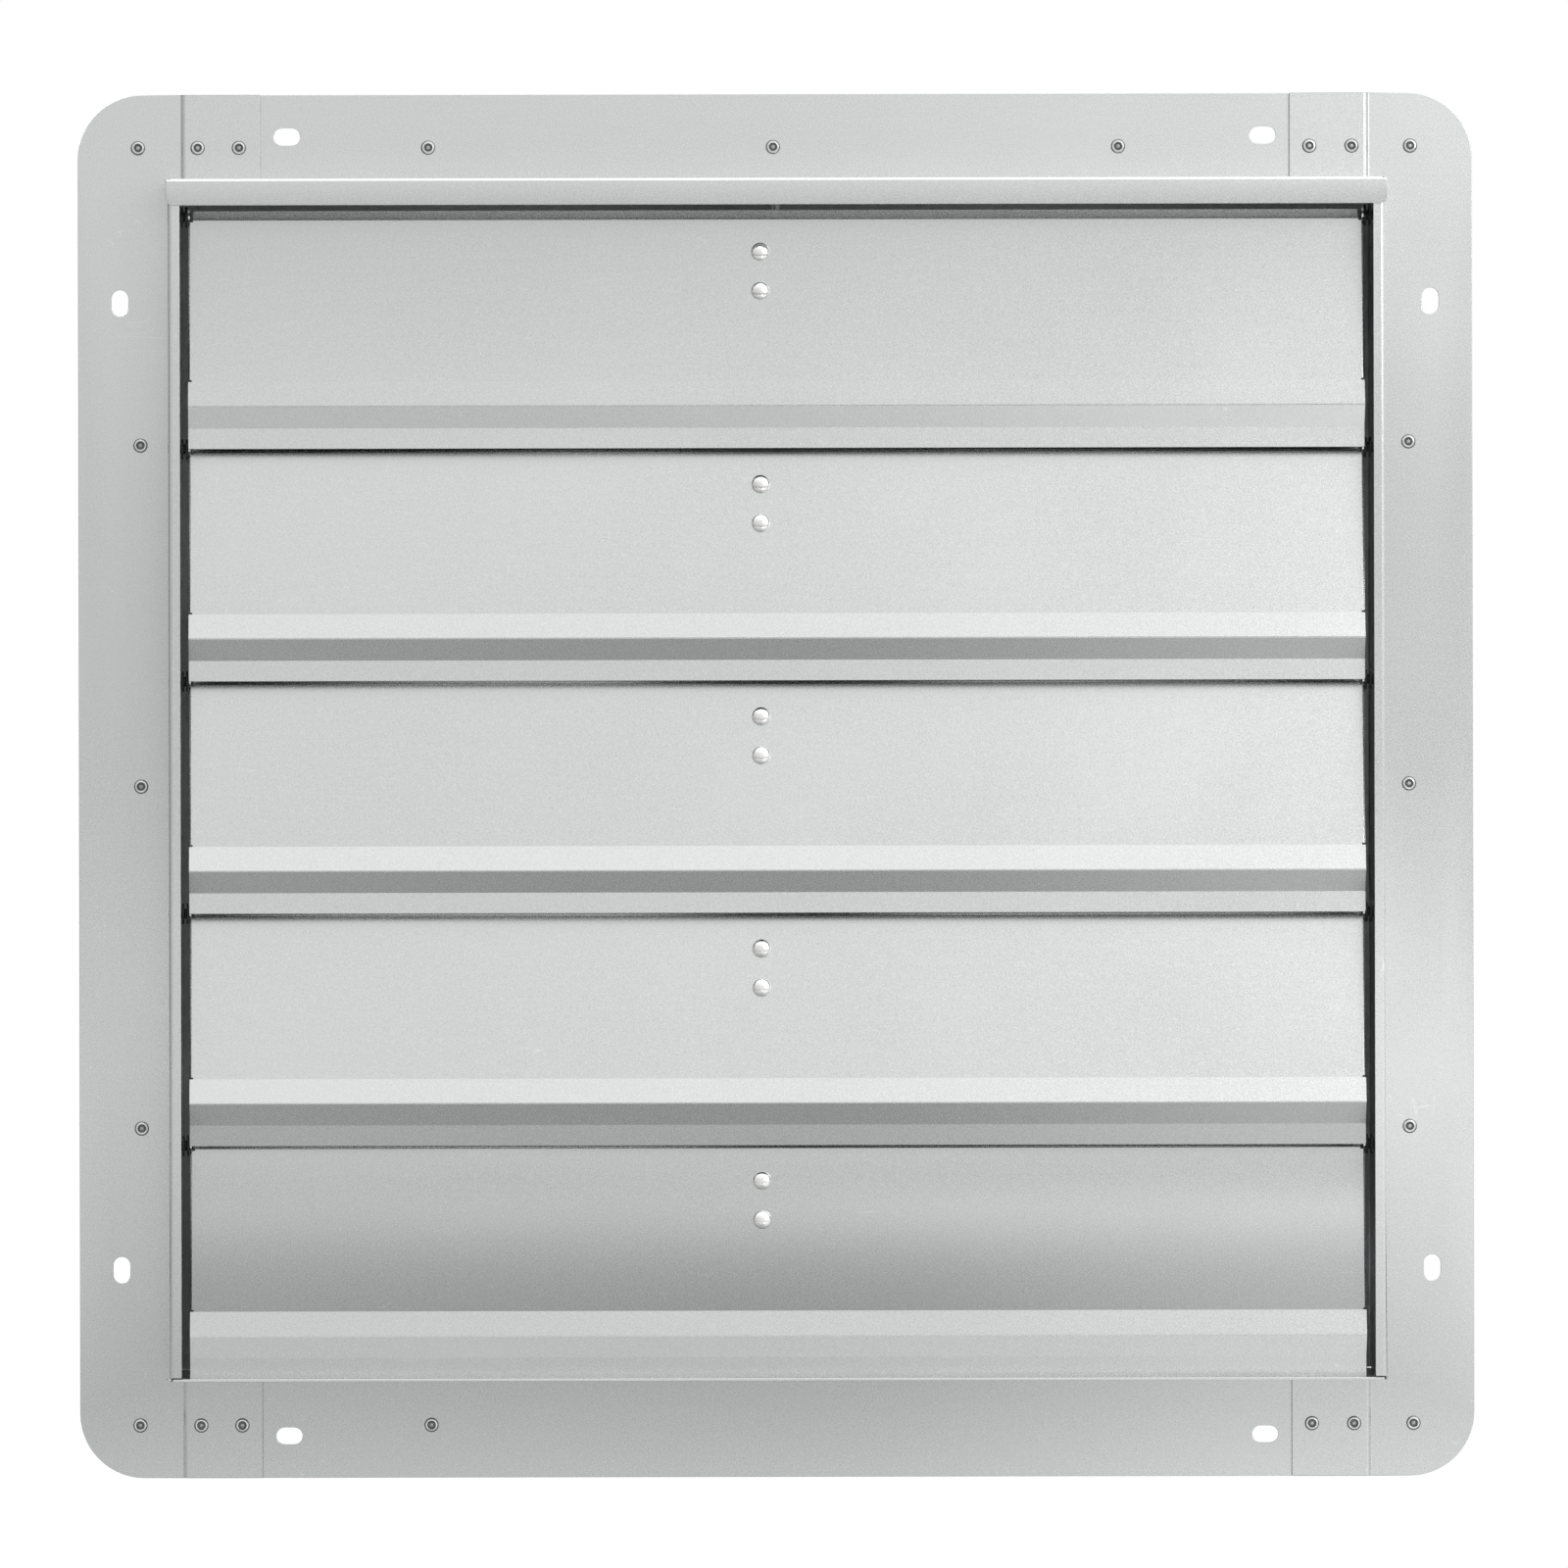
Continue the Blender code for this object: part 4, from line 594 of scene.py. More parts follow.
def ring_closed(corners):
    """Profile of a ring, started and closed in the middle of its first run."""
    corners = np.asarray(corners, float)
    middle = (corners[0] + corners[1]) / 2
    return np.concatenate([[middle], corners[1:], corners[:1], [middle]])


def grid_normals(grid, wrap=(False, False)):
    """Normals of a grid: the cross product of its two sets of differences."""
    steps = []
    for axis in (0, 1):
        if wrap[axis]:
            steps.append(np.roll(grid, -1, axis) - np.roll(grid, 1, axis))
        else:
            steps.append(np.gradient(grid, axis=axis))
    normals = np.cross(steps[0], steps[1])
    return normals / np.maximum(np.linalg.norm(normals, axis=-1, keepdims=True), 1e-12)


def welded(shape):
    """Shape whose coincident points are one, with the mean of their normals."""
    _, first, which = np.unique(
        np.round(shape.points, 8), axis=0, return_index=True, return_inverse=True
    )
    which = which.ravel()
    normals = np.zeros((len(first), 3))
    np.add.at(normals, which, shape.normals)
    return Shape(
        shape.points[first], normals, [which[block] for block in shape.faces], shape.cut[first]
    )


def slab(grid, thickness, normals=None, around=False):
    """Curved plate: the grid's surface moved half the thickness to both sides, with a round rim.

    Its edge is line + half * (0.6 o * out + u * normal) for (o, u) on a half circle.
    """
    normals = grid_normals(grid, (False, around)) if normals is None else normals
    half = thickness / 2
    shapes = [
        grid_shape(grid + side * half * normals, side * normals, (False, around))
        for side in (1, -1)
    ]
    rim = lambda a: np.concatenate([a[0, :-1], a[:-1, -1], a[-1, :0:-1], a[:0:-1, 0]])
    rims = [(rim(grid), rim(normals))]
    if around:
        rims = [(grid[0], normals[0]), (grid[-1], normals[-1])]
    rows = [(0.0, 1.0), (DIAGONAL, DIAGONAL), (1.0, 0.0), (DIAGONAL, -DIAGONAL), (0.0, -1.0)]
    inward = grid[len(grid) // 2] if around else grid[grid.shape[0] // 2, grid.shape[1] // 2]
    for line, normal in rims:
        out = np.cross(np.roll(line, -1, 0) - np.roll(line, 1, 0), normal)
        out /= np.linalg.norm(out, axis=1)[:, None]
        out *= np.sign(((line - inward) * out).sum())
        points = np.stack([line + half * (0.6 * o * out + u * normal) for o, u in rows])
        sides = np.stack([o * out + u * normal for o, u in rows])
        cut = np.repeat([[0.0], [1.0], [1.0], [1.0], [0.0]], len(line), 1)
        shapes.append(grid_shape(points, sides, (False, True), cut=cut))
    return welded(joined(shapes))


def tube(path, radius, guide, sides=8, closed=False):
    """Round wire: path + radius * (cos t * side + sin t * lift), both square to the path."""
    path = np.asarray(path, float)
    if closed:
        ahead = np.roll(path, -1, 0) - np.roll(path, 1, 0)
    else:
        ahead = np.gradient(path, axis=0)
    ahead /= np.linalg.norm(ahead, axis=1)[:, None]
    side = np.broadcast_to(guide, path.shape) - ahead * (ahead * guide).sum(1)[:, None]
    side /= np.linalg.norm(side, axis=1)[:, None]
    lift = np.cross(ahead, side)
    radii = np.full(len(path), radius)
    lean = np.zeros(len(path))
    if not closed:
        out, thin, tilt = np.array([[1.0, 0.9, 0.55], [0.0, 0.45, 0.85], [1.0, 0.9, 0.5]])
        start = path[:1] - ahead[:1] * radius * out[:, None]
        path = np.concatenate([start, path, path[-1:] + ahead[-1:] * radius * out[::-1, None]])
        ahead, side, lift = (
            np.concatenate([v[[0] * 3], v, v[[-1] * 3]]) for v in (ahead, side, lift)
        )
        radii = np.concatenate([thin * radius, radii, thin[::-1] * radius])
        lean = np.concatenate([-tilt, lean, tilt[::-1]])
    angle = full_turn(sides)[None, :, None]
    out = np.cos(angle) * side[:, None] + np.sin(angle) * lift[:, None]
    normals = out * np.sqrt(1 - lean**2)[:, None, None] + ahead[:, None] * lean[:, None, None]
    points = path[:, None] + radii[:, None, None] * out
    return grid_shape(points, normals, (closed, True), (not closed, not closed))


def dome(radius, height, skirt, sides=32):
    """Domed head on the plane h = 0: a low skirt and a cap of an ellipse, closed underneath."""
    angle = np.linspace(0.0, np.pi / 2, 9)
    cap = np.stack([radius * np.cos(angle), skirt + (height - skirt) * np.sin(angle)], 1)
    cap[-1, 0] = 0.0
    return turned(np.concatenate([[[0.0, 0.0], [radius, 0.0]], cap]), sides, 0.0001, 1)


# Finishes


class Tree:
    """Short hand for the nodes of a material or of a node group."""

    def __init__(self, tree):
        self.tree = tree

    def node(self, kind, inputs=(), **settings):
        """New node with its settings; inputs maps a socket to a value or to another socket."""
        node = self.tree.nodes.new(kind)
        for key, value in settings.items():
            setattr(node, key, value)
        for key, value in dict(inputs).items():
            if isinstance(value, bpy.types.NodeSocket):
                self.tree.links.new(value, node.inputs[key])
            else:
                node.inputs[key].default_value = value
        return node

    def math(self, operation, *values):
        """Math node."""
        return self.node("ShaderNodeMath", dict(enumerate(values)), operation=operation).outputs[0]

    def add(self, first, second):
        """Sum of two values."""
        return self.math("ADD", first, second)

    def times(self, first, second):
        """Product of two values."""
        return self.math("MULTIPLY", first, second)

    def grey(self, value):
        """Colour whose three parts are one value."""
        return self.node("ShaderNodeCombineColor", {0: value, 1: value, 2: value}).outputs[0]

    def spread(self, value, low, high, start=0.0, end=1.0):
        """Map Range node, clamped."""
        inputs = {"Value": value, "From Min": start, "From Max": end, "To Min": low, "To Max": high}
        return self.node("ShaderNodeMapRange", inputs).outputs[0]

    def noise(self, vector, scale, detail=2.0, roughness=0.5):
        """Noise texture's value."""
        inputs = {"Vector": vector, "Scale": scale, "Detail": detail, "Roughness": roughness}
        return self.node("ShaderNodeTexNoise", inputs).outputs["Fac"]

    def stretched(self, vector, factors):
        """Vector times three factors."""
        inputs = {0: vector, 1: factors}
        return self.node("ShaderNodeVectorMath", inputs, operation="MULTIPLY").outputs[0]

    def mix(self, factor, first, second):
        """Mix of two colours."""
        inputs = {0: factor, 6: first, 7: second}
        return self.node("ShaderNodeMix", inputs, data_type="RGBA").outputs[2]


def effect(*outputs, **defaults):
    """Decorator that makes a shader node group once, named for the function that builds it.

    The group has a Vector input, a float input for each default, and float outputs. The function
    gets the group's tree and its input sockets and returns the output sockets.
    """

    def wrap(build):
        name = build.__name__.replace("_", " ")

        def group():
            if name in bpy.data.node_groups:
                return bpy.data.node_groups[name]
            made, number = bpy.data.node_groups.new(name, "ShaderNodeTree"), "NodeSocketFloat"
            made.interface.new_socket("Vector", in_out="INPUT", socket_type="NodeSocketVector")
            for label, default in defaults.items():
                socket = made.interface.new_socket(label, in_out="INPUT", socket_type=number)
                socket.default_value = default
            for label in outputs:
                made.interface.new_socket(label, in_out="OUTPUT", socket_type=number)
            source = made.nodes.new("NodeGroupInput").outputs
            target = made.nodes.new("NodeGroupOutput").inputs
            for label, value in zip(outputs, build(Tree(made), source)):
                made.links.new(value, target[label])
            return made

        group.__doc__ = build.__doc__
        return group

    return wrap


@effect("Shade", "Height", Fine=1500.0, Lines=900.0)
def mill_grain(tree, source):
    """Speckle and rolling lines of mill-finish sheet, as a shade and a height."""
    fine = tree.noise(source["Vector"], source["Fine"], 3.0, 0.65)
    rolled = tree.noise(
        tree.stretched(source["Vector"], (0.05, 1.0, 1.0)), source["Lines"], 4.0, 0.6
    )
    speck = tree.spread(fine, 0.0, 1.0, 0.32, 0.68)
    shade = tree.add(tree.times(speck, 0.8), tree.times(rolled, 0.2))
    return shade, tree.add(tree.times(fine, 0.85), tree.times(rolled, 0.15))


@effect("Value", Scale=9.0)
def cloudiness(tree, source):
    """Soft patches from handling and uneven sheet, from 0 to 1."""
    wide = tree.noise(source["Vector"], source["Scale"], 2.0, 0.5)
    return (tree.spread(wide, 0.0, 1.0, 0.3, 0.7),)


@effect("Mask", Amount=1.0)
def fine_scratches(tree, source):
    """Sparse hair scratches: thin crests of stretched noise, let through in patches."""
    lines = []
    for factors, scale in (((0.10, 1.0, 1.3), 120.0), ((1.0, 1.0, 0.14), 150.0)):
        crest = tree.noise(tree.stretched(source["Vector"], factors), scale, 1.0, 0.4)
        away = tree.math("ABSOLUTE", tree.math("SUBTRACT", crest, 0.5))
        lines.append(tree.spread(away, 1.0, 0.0, 0.0, 0.004))
    gate = tree.spread(tree.noise(source["Vector"], 38.0, 2.0), 0.0, 1.0, 0.58, 0.66)
    return (tree.times(tree.times(tree.math("MAXIMUM", *lines), gate), source["Amount"]),)


@effect("Mask", Cut=0.0)
def cut_edge_wear_and_shade(tree, source):
    """Mark of the cut edges, broken up so that the line is uneven."""
    patchy = tree.spread(tree.noise(source["Vector"], 160.0, 3.0), 0.75, 1.0, 0.35, 0.6)
    return (tree.times(source["Cut"], patchy),)


@effect("Shade", "Height", Scale=110.0)
def zinc_spangle(tree, source):
    """Crystal pattern of hot-dip zinc: one random shade for each cell, and its faint relief."""
    bent = tree.noise(source["Vector"], 60.0, 2.0)
    spread = tree.node("ShaderNodeCombineXYZ", {0: bent, 1: bent, 2: bent}).outputs[0]
    moves = {0: source["Vector"], 1: tree.stretched(spread, (0.006, 0.006, 0.006))}
    shifted = tree.node("ShaderNodeVectorMath", moves, operation="ADD").outputs[0]
    cells = tree.node(
        "ShaderNodeTexVoronoi", {"Vector": shifted, "Scale": source["Scale"]}, feature="F1"
    )
    shade = tree.node("ShaderNodeSeparateColor", {0: cells.outputs["Color"]}).outputs[0]
    return shade, cells.outputs["Distance"]


@effect("Height", Scale=700.0)
def orange_peel(tree, source):
    """Fine rounded relief of sprayed enamel and powder coat."""
    coarse = tree.noise(source["Vector"], source["Scale"], 1.5, 0.4)
    fine = tree.noise(source["Vector"], 2600.0, 1.0)
    return (tree.add(tree.times(coarse, 0.8), tree.times(fine, 0.2)),)


@effect("Mask", Amount=0.3)
def settled_dust(tree, source):
    """Grey dust that settles in patches."""
    patches = tree.spread(tree.noise(source["Vector"], 26.0, 6.0, 0.65), 0.0, 1.0, 0.45, 0.75)
    grit = tree.spread(tree.noise(source["Vector"], 900.0, 2.0), 0.4, 1.0, 0.4, 0.6)
    return (tree.times(tree.times(patches, grit), source["Amount"]),)


class Finish(Tree):
    """Material in the making: its tree, its shader and its object coordinates."""

    def __init__(self, name, metallic, **constants):
        self.material = bpy.data.materials.new(name)
        self.material.use_nodes = True
        super().__init__(self.material.node_tree)
        self.shader = self.tree.nodes["Principled BSDF"]
        for key, value in dict(constants, Metallic=metallic).items():
            self.shader.inputs[key.replace("_", " ")].default_value = value
        self.vector = self.node("ShaderNodeTexCoord").outputs["Object"]

    def use(self, group, **inputs):
        """Outputs of an effect's group node on the object coordinates."""
        inputs["Vector"] = self.vector
        return self.node("ShaderNodeGroup", inputs, node_tree=group()).outputs

    def cut_mark(self):
        """The mesh's mark of its cut edges."""
        return self.node("ShaderNodeAttribute", attribute_name="cut").outputs["Fac"]

    def done(self, base, roughness, height, depth):
        """Wire colour, roughness and relief into the shader; the finished material."""
        bump = self.node("ShaderNodeBump", {"Height": height, "Distance": depth, "Strength": 1.0})
        wires = {"Base Color": base, "Roughness": roughness, "Normal": bump.outputs[0]}
        for key, value in wires.items():
            self.tree.links.new(value, self.shader.inputs[key])
        return self.material


def toned(colour, factor):
    """Colour times a factor, with full alpha."""
    return (*(min(1.0, c * factor) for c in colour), 1.0)


def satin_sheet(name, colour, rough, contrast=0.10, relief=0.000012, waves=0.0, edge=1.32):
    """Mill-finish sheet: speckle, rolling lines, clouds, hair scratches and toned cut edges."""
    tree = Finish(name, 1.0)
    grain = tree.use(mill_grain)
    clouds = tree.use(cloudiness)["Value"]
    scratch = tree.use(fine_scratches, Amount=0.5)["Mask"]
    cut_edge_mask = tree.use(cut_edge_wear_and_shade, Cut=tree.cut_mark())["Mask"]
    speckled = tree.mix(
        tree.spread(grain["Shade"], 0.0, 1.0, 0.2, 0.8), toned(colour, 1 - contrast),
        toned(colour, 1 + contrast)
    )
    clouded = tree.mix(tree.times(clouds, 0.5), speckled, toned(colour, 0.97))
    # At the cut mark the colour goes to edge times the colour. On the frame, edge 0.1 is painted
    # shade: a dark shadow line along its lap tabs and lips.
    base = tree.mix(cut_edge_mask, tree.mix(scratch, clouded, toned(colour, 1.32)), toned(colour, edge))
    cloudy = tree.spread(clouds, rough - 0.02, rough + 0.03)
    even = tree.add(cloudy, tree.spread(grain["Shade"], -0.05, 0.05))
    roughness = tree.math("SUBTRACT", even, tree.times(tree.math("MAXIMUM", cut_edge_mask, scratch), 0.12))
    height = grain["Height"]
    if waves:
        swell = tree.noise(tree.stretched(tree.vector, (0.6, 1.0, 1.0)), 11.0, 1.0, 0.4)
        height = tree.add(height, tree.times(swell, waves / relief))
    return tree.done(base, roughness, height, relief)


def galvanised_sheet(name, colour, rough):
    """Hot-dip zinc: spangle cells, fine grain, patches and cut edges."""
    tree = Finish(name, 1.0)
    cells = tree.use(zinc_spangle)
    grain = tree.use(mill_grain)
    clouds = tree.use(cloudiness, Scale=7.0)["Value"]
    cut_edge_mask = tree.use(cut_edge_wear_and_shade, Cut=tree.cut_mark())["Mask"]
    spangled = tree.mix(cells["Shade"], toned(colour, 0.86), toned(colour, 1.12))
    speckled = tree.mix(
        tree.spread(grain["Shade"], 0.0, 0.25, 0.3, 0.7), spangled, toned(colour, 0.8)
    )
    dust = tree.use(settled_dust, Amount=0.25)["Mask"]
    base = tree.mix(dust, tree.mix(cut_edge_mask, speckled, toned(colour, 1.25)), (0.42, 0.41, 0.39, 1.0))
    dull = tree.add(tree.spread(clouds, 0.0, 0.05), tree.times(dust, 0.3))
    roughness = tree.add(tree.spread(cells["Shade"], rough - 0.06, rough + 0.05), dull)
    height = tree.add(tree.times(cells["Height"], 0.7), tree.times(grain["Height"], 0.3))
    return tree.done(base, roughness, height, 0.00002)


def plated_steel(name, colour, rough, tint=(0.62, 0.60, 0.52)):
    """Zinc plating: cool grey with faint warm patches, fine grain and hair scratches."""
    tree = Finish(name, 1.0)
    clouds = tree.use(cloudiness, Scale=55.0)["Value"]
    grain = tree.use(mill_grain, Fine=2200.0, Lines=500.0)
    scratch = tree.use(fine_scratches, Amount=0.6)["Mask"]
    warm = tree.mix(tree.times(clouds, 0.35), toned(colour, 1.0), (*tint, 1.0))
    speckled = tree.mix(
        tree.spread(grain["Shade"], 0.0, 0.35, 0.25, 0.75), warm, toned(colour, 0.7)
    )
    base = tree.mix(scratch, speckled, toned(colour, 1.4))
    roughness = tree.add(
        tree.spread(clouds, rough - 0.05, rough + 0.08), tree.spread(grain["Shade"], -0.04, 0.06)
    )
    return tree.done(base, roughness, grain["Height"], 0.000015)


def bright_metal(name, colour, rough, turning=False):
    """Polished or ground metal: uneven roughness, tool rings, tarnish, grime at the cut mark."""
    tree = Finish(name, 1.0)
    clouds = tree.use(cloudiness, Scale=180.0)["Value"]
    vector = tree.stretched(tree.vector, (1.0, 60.0, 1.0)) if turning else tree.vector
    fine = tree.noise(vector, 900.0, 3.0, 0.6)
    unshaded = tree.mix(tree.times(clouds, 0.5), toned(colour, 1.0), toned(colour, 0.82))
    # Painted shade: where the cut mark is set (the pop rivet heads' outer rim and sunk middle), the
    # colour darkens to 0.16.
    base = tree.mix(tree.cut_mark(), unshaded, toned(colour, 0.16))
    roughness = tree.add(tree.spread(clouds, rough, rough + 0.06), tree.spread(fine, -0.02, 0.04))
    return tree.done(base, roughness, fine, 0.000006)


def enamel(name, colour, rough, peel=0.00003, dusty=0.18, coat=0.0):
    """Sprayed black coat: orange peel, patches of dust, paler rubbed patches."""
    tree = Finish(name, 0.0, Coat_Weight=coat, Coat_Roughness=0.25)
    skin = tree.use(orange_peel)["Height"]
    clouds = tree.use(cloudiness, Scale=22.0)["Value"]
    dust = tree.use(settled_dust, Amount=dusty)["Mask"]
    rubbed = tree.mix(tree.times(clouds, 0.6), toned(colour, 0.9), toned(colour, 1.9))
    base = tree.mix(dust, rubbed, (0.16, 0.155, 0.145, 1.0))
    roughness = tree.add(tree.spread(clouds, rough - 0.05, rough + 0.07), tree.times(dust, 0.35))
    return tree.done(base, roughness, skin, peel)


def moulded_plastic(name, colour, rough):
    """Moulded nylon: a fine matt skin with slight flow marks."""
    tree = Finish(name, 0.0, Specular_IOR_Level=0.45)
    skin = tree.noise(tree.vector, 3200.0, 2.0, 0.6)
    flow = tree.noise(tree.stretched(tree.vector, (0.3, 1.0, 1.0)), 240.0, 2.0)
    base = tree.mix(flow, toned(colour, 0.85), toned(colour, 1.35))
    return tree.done(base, tree.spread(skin, rough - 0.06, rough + 0.10, 0.3, 0.7), skin, 0.00001)


def pale_floor():
    """Pale floor with a trace of unevenness, in a graded tone of its own where pieces mirror it."""
    tree = Finish("stage_floor", 0.0)
    wide = tree.noise(tree.vector, 3.0, 2.0)
    seen = tree.node("ShaderNodeLightPath").outputs["Is Camera Ray"]
    pale = tree.mix(wide, (0.83, 0.83, 0.83, 1.0), (0.86, 0.86, 0.86, 1.0))
    across, depth, _ = tree.node("ShaderNodeSeparateXYZ", {0: tree.vector}).outputs
    # Painted shade and light, seen only in reflections. The floor darkens towards the wall and
    # brightens to the right.
    level = tree.spread(depth, 0.62, 0.375, -1.2, -0.45)
    painted_floor_light = tree.times(level, tree.spread(across, 0.95, 1.4, 0.05, 0.25))
    base = tree.mix(seen, tree.grey(painted_floor_light), pale)
    return tree.done(base, tree.spread(wide, 0.55, 0.65), tree.noise(tree.vector, 300.0), 0.0001)


FINISHES = {}


def make_finishes(colours):
    """Every finish, named for the pieces that wear it."""
    FINISHES.update(
        # The frame's edge tone of 0.1 is painted shade. It is a dark line on the cut edges of its
        # lap tabs and lips, in place of their shadow lines.
        frame=satin_sheet("frame_satin", colours.frame, 0.27, 0.04, 0.000008, edge=0.1),
        louver=satin_sheet("louver_satin", colours.louver, 0.26, 0.06, 0.000012, 0.00002),
        housing=galvanised_sheet("housing_galvanised", colours.housing, 0.38),
        zinc=plated_steel("link_zinc", colours.zinc, 0.36),
        rivet=bright_metal("rivet_bright", colours.rivet, 0.07),
        pop=bright_metal("pop_rivet_aluminium", (0.80, 0.81, 0.81), 0.18),
        mandrel=bright_metal("mandrel_steel", (0.42, 0.42, 0.42), 0.32),
        screw=bright_metal("screw_zinc", (0.58, 0.58, 0.56), 0.28),
        nylon=moulded_plastic("pivot_nylon", colours.nylon, 0.42),
        blade=satin_sheet("blade_aluminium", colours.blade, 0.33, 0.08),
        motor=enamel("motor_enamel", colours.motor, 0.38, coat=0.2),
        guard=enamel("guard_powder", colours.guard, 0.44, 0.00004),
        shaft=bright_metal("shaft_ground", (0.56, 0.56, 0.57), 0.20, True),
        plastic=moulded_plastic("terminal_plastic", (0.03, 0.03, 0.032), 0.5),
    )


# Pieces


def dressed(item, finish_name, body, replaced):
    """Give an object its finish, its body, the nodes that it replaces and its slot."""
    bpy.context.scene.collection.objects.link(item)
    item.data.materials.clear()
    item.data.materials.append(FINISHES[finish_name])
    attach(item, body)
    if replaced:
        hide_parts(*replaced)


def add_piece(name, shape, finish_name, body="frame", replaced=()):
    """Mesh object of a shape: smooth with its own normals, riding on a body."""
    shape = facing_out(shape)
    used = np.unique(np.concatenate([block.ravel() for block in shape.faces]))
    renumber = np.zeros(len(shape.points), int)
    renumber[used] = np.arange(len(used))
    faces = [face for block in shape.faces for face in renumber[block].tolist()]
    mesh = bpy.data.meshes.new(name)
    mesh.from_pydata(shape.points[used], [], faces)
    mesh.polygons.foreach_set("use_smooth", np.ones(len(faces), bool))
    mark = mesh.attributes.new("cut", "FLOAT", "POINT")
    mark.data.foreach_set("value", shape.cut[used].astype(np.float32))
    normals = shape.normals[used]
    normals /= np.maximum(np.linalg.norm(normals, axis=1)[:, None], 1e-12)
    mesh.normals_split_custom_set_from_vertices(normals.tolist())
    dressed(bpy.data.objects.new(name, mesh), finish_name, body, replaced)


def frame_side_shape(side, sizes):
    """Side piece: the flange folds into the wall and the lip, or goes on into the joggled lap tabs.

    Beyond the height of the box the blank follows the lap's section, elsewhere the box's.
    """
    wall_x = BOX_SIDE - sizes.frame_sheet / 2
    lip_x = BOX_SIDE - 0.0056
    start = (HALF_WIDTH, FLANGE_Y)
    box = Section([start, (wall_x, FLANGE_Y), (wall_x, LIP_Y), (lip_x, LIP_Y)], sizes.bend_radius)
    lap = Section([start, (LAP_LINE, FLANGE_Y), (LAP_STEP, LAP_Y), (LAP_END, LAP_Y)], 0.0012)
    across = side * X
    box_fold, lap_fold = carried(box, Z, across, Y), carried(lap, Z, across, Y)
    lower, upper = BOX_BOTTOM - FIT / 2, BOX_TOP + FIT / 2

    def fold(u, s):
        beyond = (u > upper) | (u < lower)
        return [np.where(beyond[:, None], b, a) for a, b in zip(box_fold(u, s), lap_fold(u, s))]

    top, low, notch = HALF_HEIGHT, -HALF_HEIGHT, box.leave[0] + HALF_WIDTH - wall_x - 0.0026
    radius = sizes.flange_corner
    under, over = BOX_BOTTOM - FIT, BOX_TOP + FIT
    tab = lap.station(2, LAP_STEP - LAP_END)
    front = box.station(2, 0.0) - 0.0004
    lip = box.station(2, wall_x - lip_x)
    lip_low, lip_high = BOX_BOTTOM + 0.0016, BOX_TOP - 0.0016
    right = corner_arc((low + radius, radius), radius, 180, 270)[::-1]
    outline = [(low, tab), (under, tab), (under, notch), (BOX_BOTTOM, notch), (BOX_BOTTOM, front)]
    outline += [(lip_low, front), (lip_low, lip), (lip_high, lip), (lip_high, front)]
    outline += [(BOX_TOP, front), (BOX_TOP, notch), (over, notch), (over, tab), (top, tab)]
    left = corner_arc((top - radius, radius), radius, 0, -90)
    outline = np.concatenate([outline, left, right])
    slots = [
        long_hole((end * UPRIGHT_SLOT_Z, SLOT_EDGE), SLOT_LENGTH, SLOT_WIDTH) for end in (-1, 1)
    ]
    journals = [
        circle((hinge[2], box.station(1, FLANGE_Y - hinge[1])), 0.0026, 20) for hinge in HINGES
    ]
    stops, leans = (-HALF_HEIGHT, BOX_BOTTOM, 0.08), (FLANGE_LEAN, SILL_LEAN, 0.0)
    spring = lambda u, s: np.interp(u, stops, leans)[:, None] * X
    lines = [across_blank(box.folds, lower, upper), across_blank(lap.folds, upper)]
    lines.append(across_blank(lap.folds, -1.0, lower))
    shape = folded_sheet(
        outline, fold, sizes.frame_sheet, lines, slots + journals, sizes.cut_round, spring=spring
    )
    # Only the cut edges of the lap tabs and the lip keep the mark. The frame finish paints them
    # dark as painted shade.
    shape.cut *= np.abs(shape.points[:, 0]) < BOX_SIDE - 0.001
    return shape


def frame_level_shape(end, sizes):
    """Top piece with its hood, or bottom piece with its sill: one section carried along X."""
    wall_z = BOX_TOP - sizes.frame_sheet / 2 if end > 0 else BOX_BOTTOM + sizes.frame_sheet / 2
    corners = [(FLANGE_Y, end * HALF_HEIGHT), (FLANGE_Y, wall_z)]
    corners += [(HOOD_Y, wall_z), (HOOD_Y, BOX_TOP - 0.0120)] if end > 0 else [(-0.044, wall_z)]
    radii = (sizes.bend_radius, sizes.hood_bend) if end > 0 else sizes.bend_radius
    section = Section(corners, radii)
    strip, wall = LAP_STEP - sizes.frame_sheet, BOX_SIDE - sizes.frame_sheet - FIT
    step = section.station(1, 0.0022)
    outline = [(-strip, 0.0), (strip, 0.0), (strip, step), (wall, step)]
    if end > 0:
        hood, rise, last = BOX_SIDE + 0.0006, section.folds[-3] - 0.0001, section.marks[-1]
        outline += [(wall, rise), (hood, rise)]
        outline += corner_arc((hood - 0.003, last - 0.003), 0.003, 0, 90, 5).tolist()
        outline += corner_arc((0.003 - hood, last - 0.003), 0.003, 90, 180, 5).tolist()
        outline += [(-hood, rise), (-wall, rise)]
    else:
        outline += [(wall, section.marks[-1]), (-wall, section.marks[-1])]
    outline += [(-wall, step), (-strip, step)]
    slots = [
        long_hole((x, SLOT_EDGE), SLOT_LENGTH, SLOT_WIDTH) for x in (-LEVEL_SLOT_X, LEVEL_SLOT_X)
    ]
    bend = section.folds[-1] if end > 0 else section.folds[0]
    leans = (0.0, 0.0, FLANGE_LEAN) if end > 0 else (FLANGE_LEAN, SILL_LEAN, 0.0)
    spring = lambda u, s: np.interp(s, (0.0, bend, bend + 1e-6), leans)[:, None] * X
    shape = bent_sheet(
        section, (X, Y, Z), outline, sizes.frame_sheet, slots, sizes.cut_round, spring=spring
    )
    # The top and bottom pieces get no painted shade line on their cut edges.
    shape.cut *= 0.0
    return shape


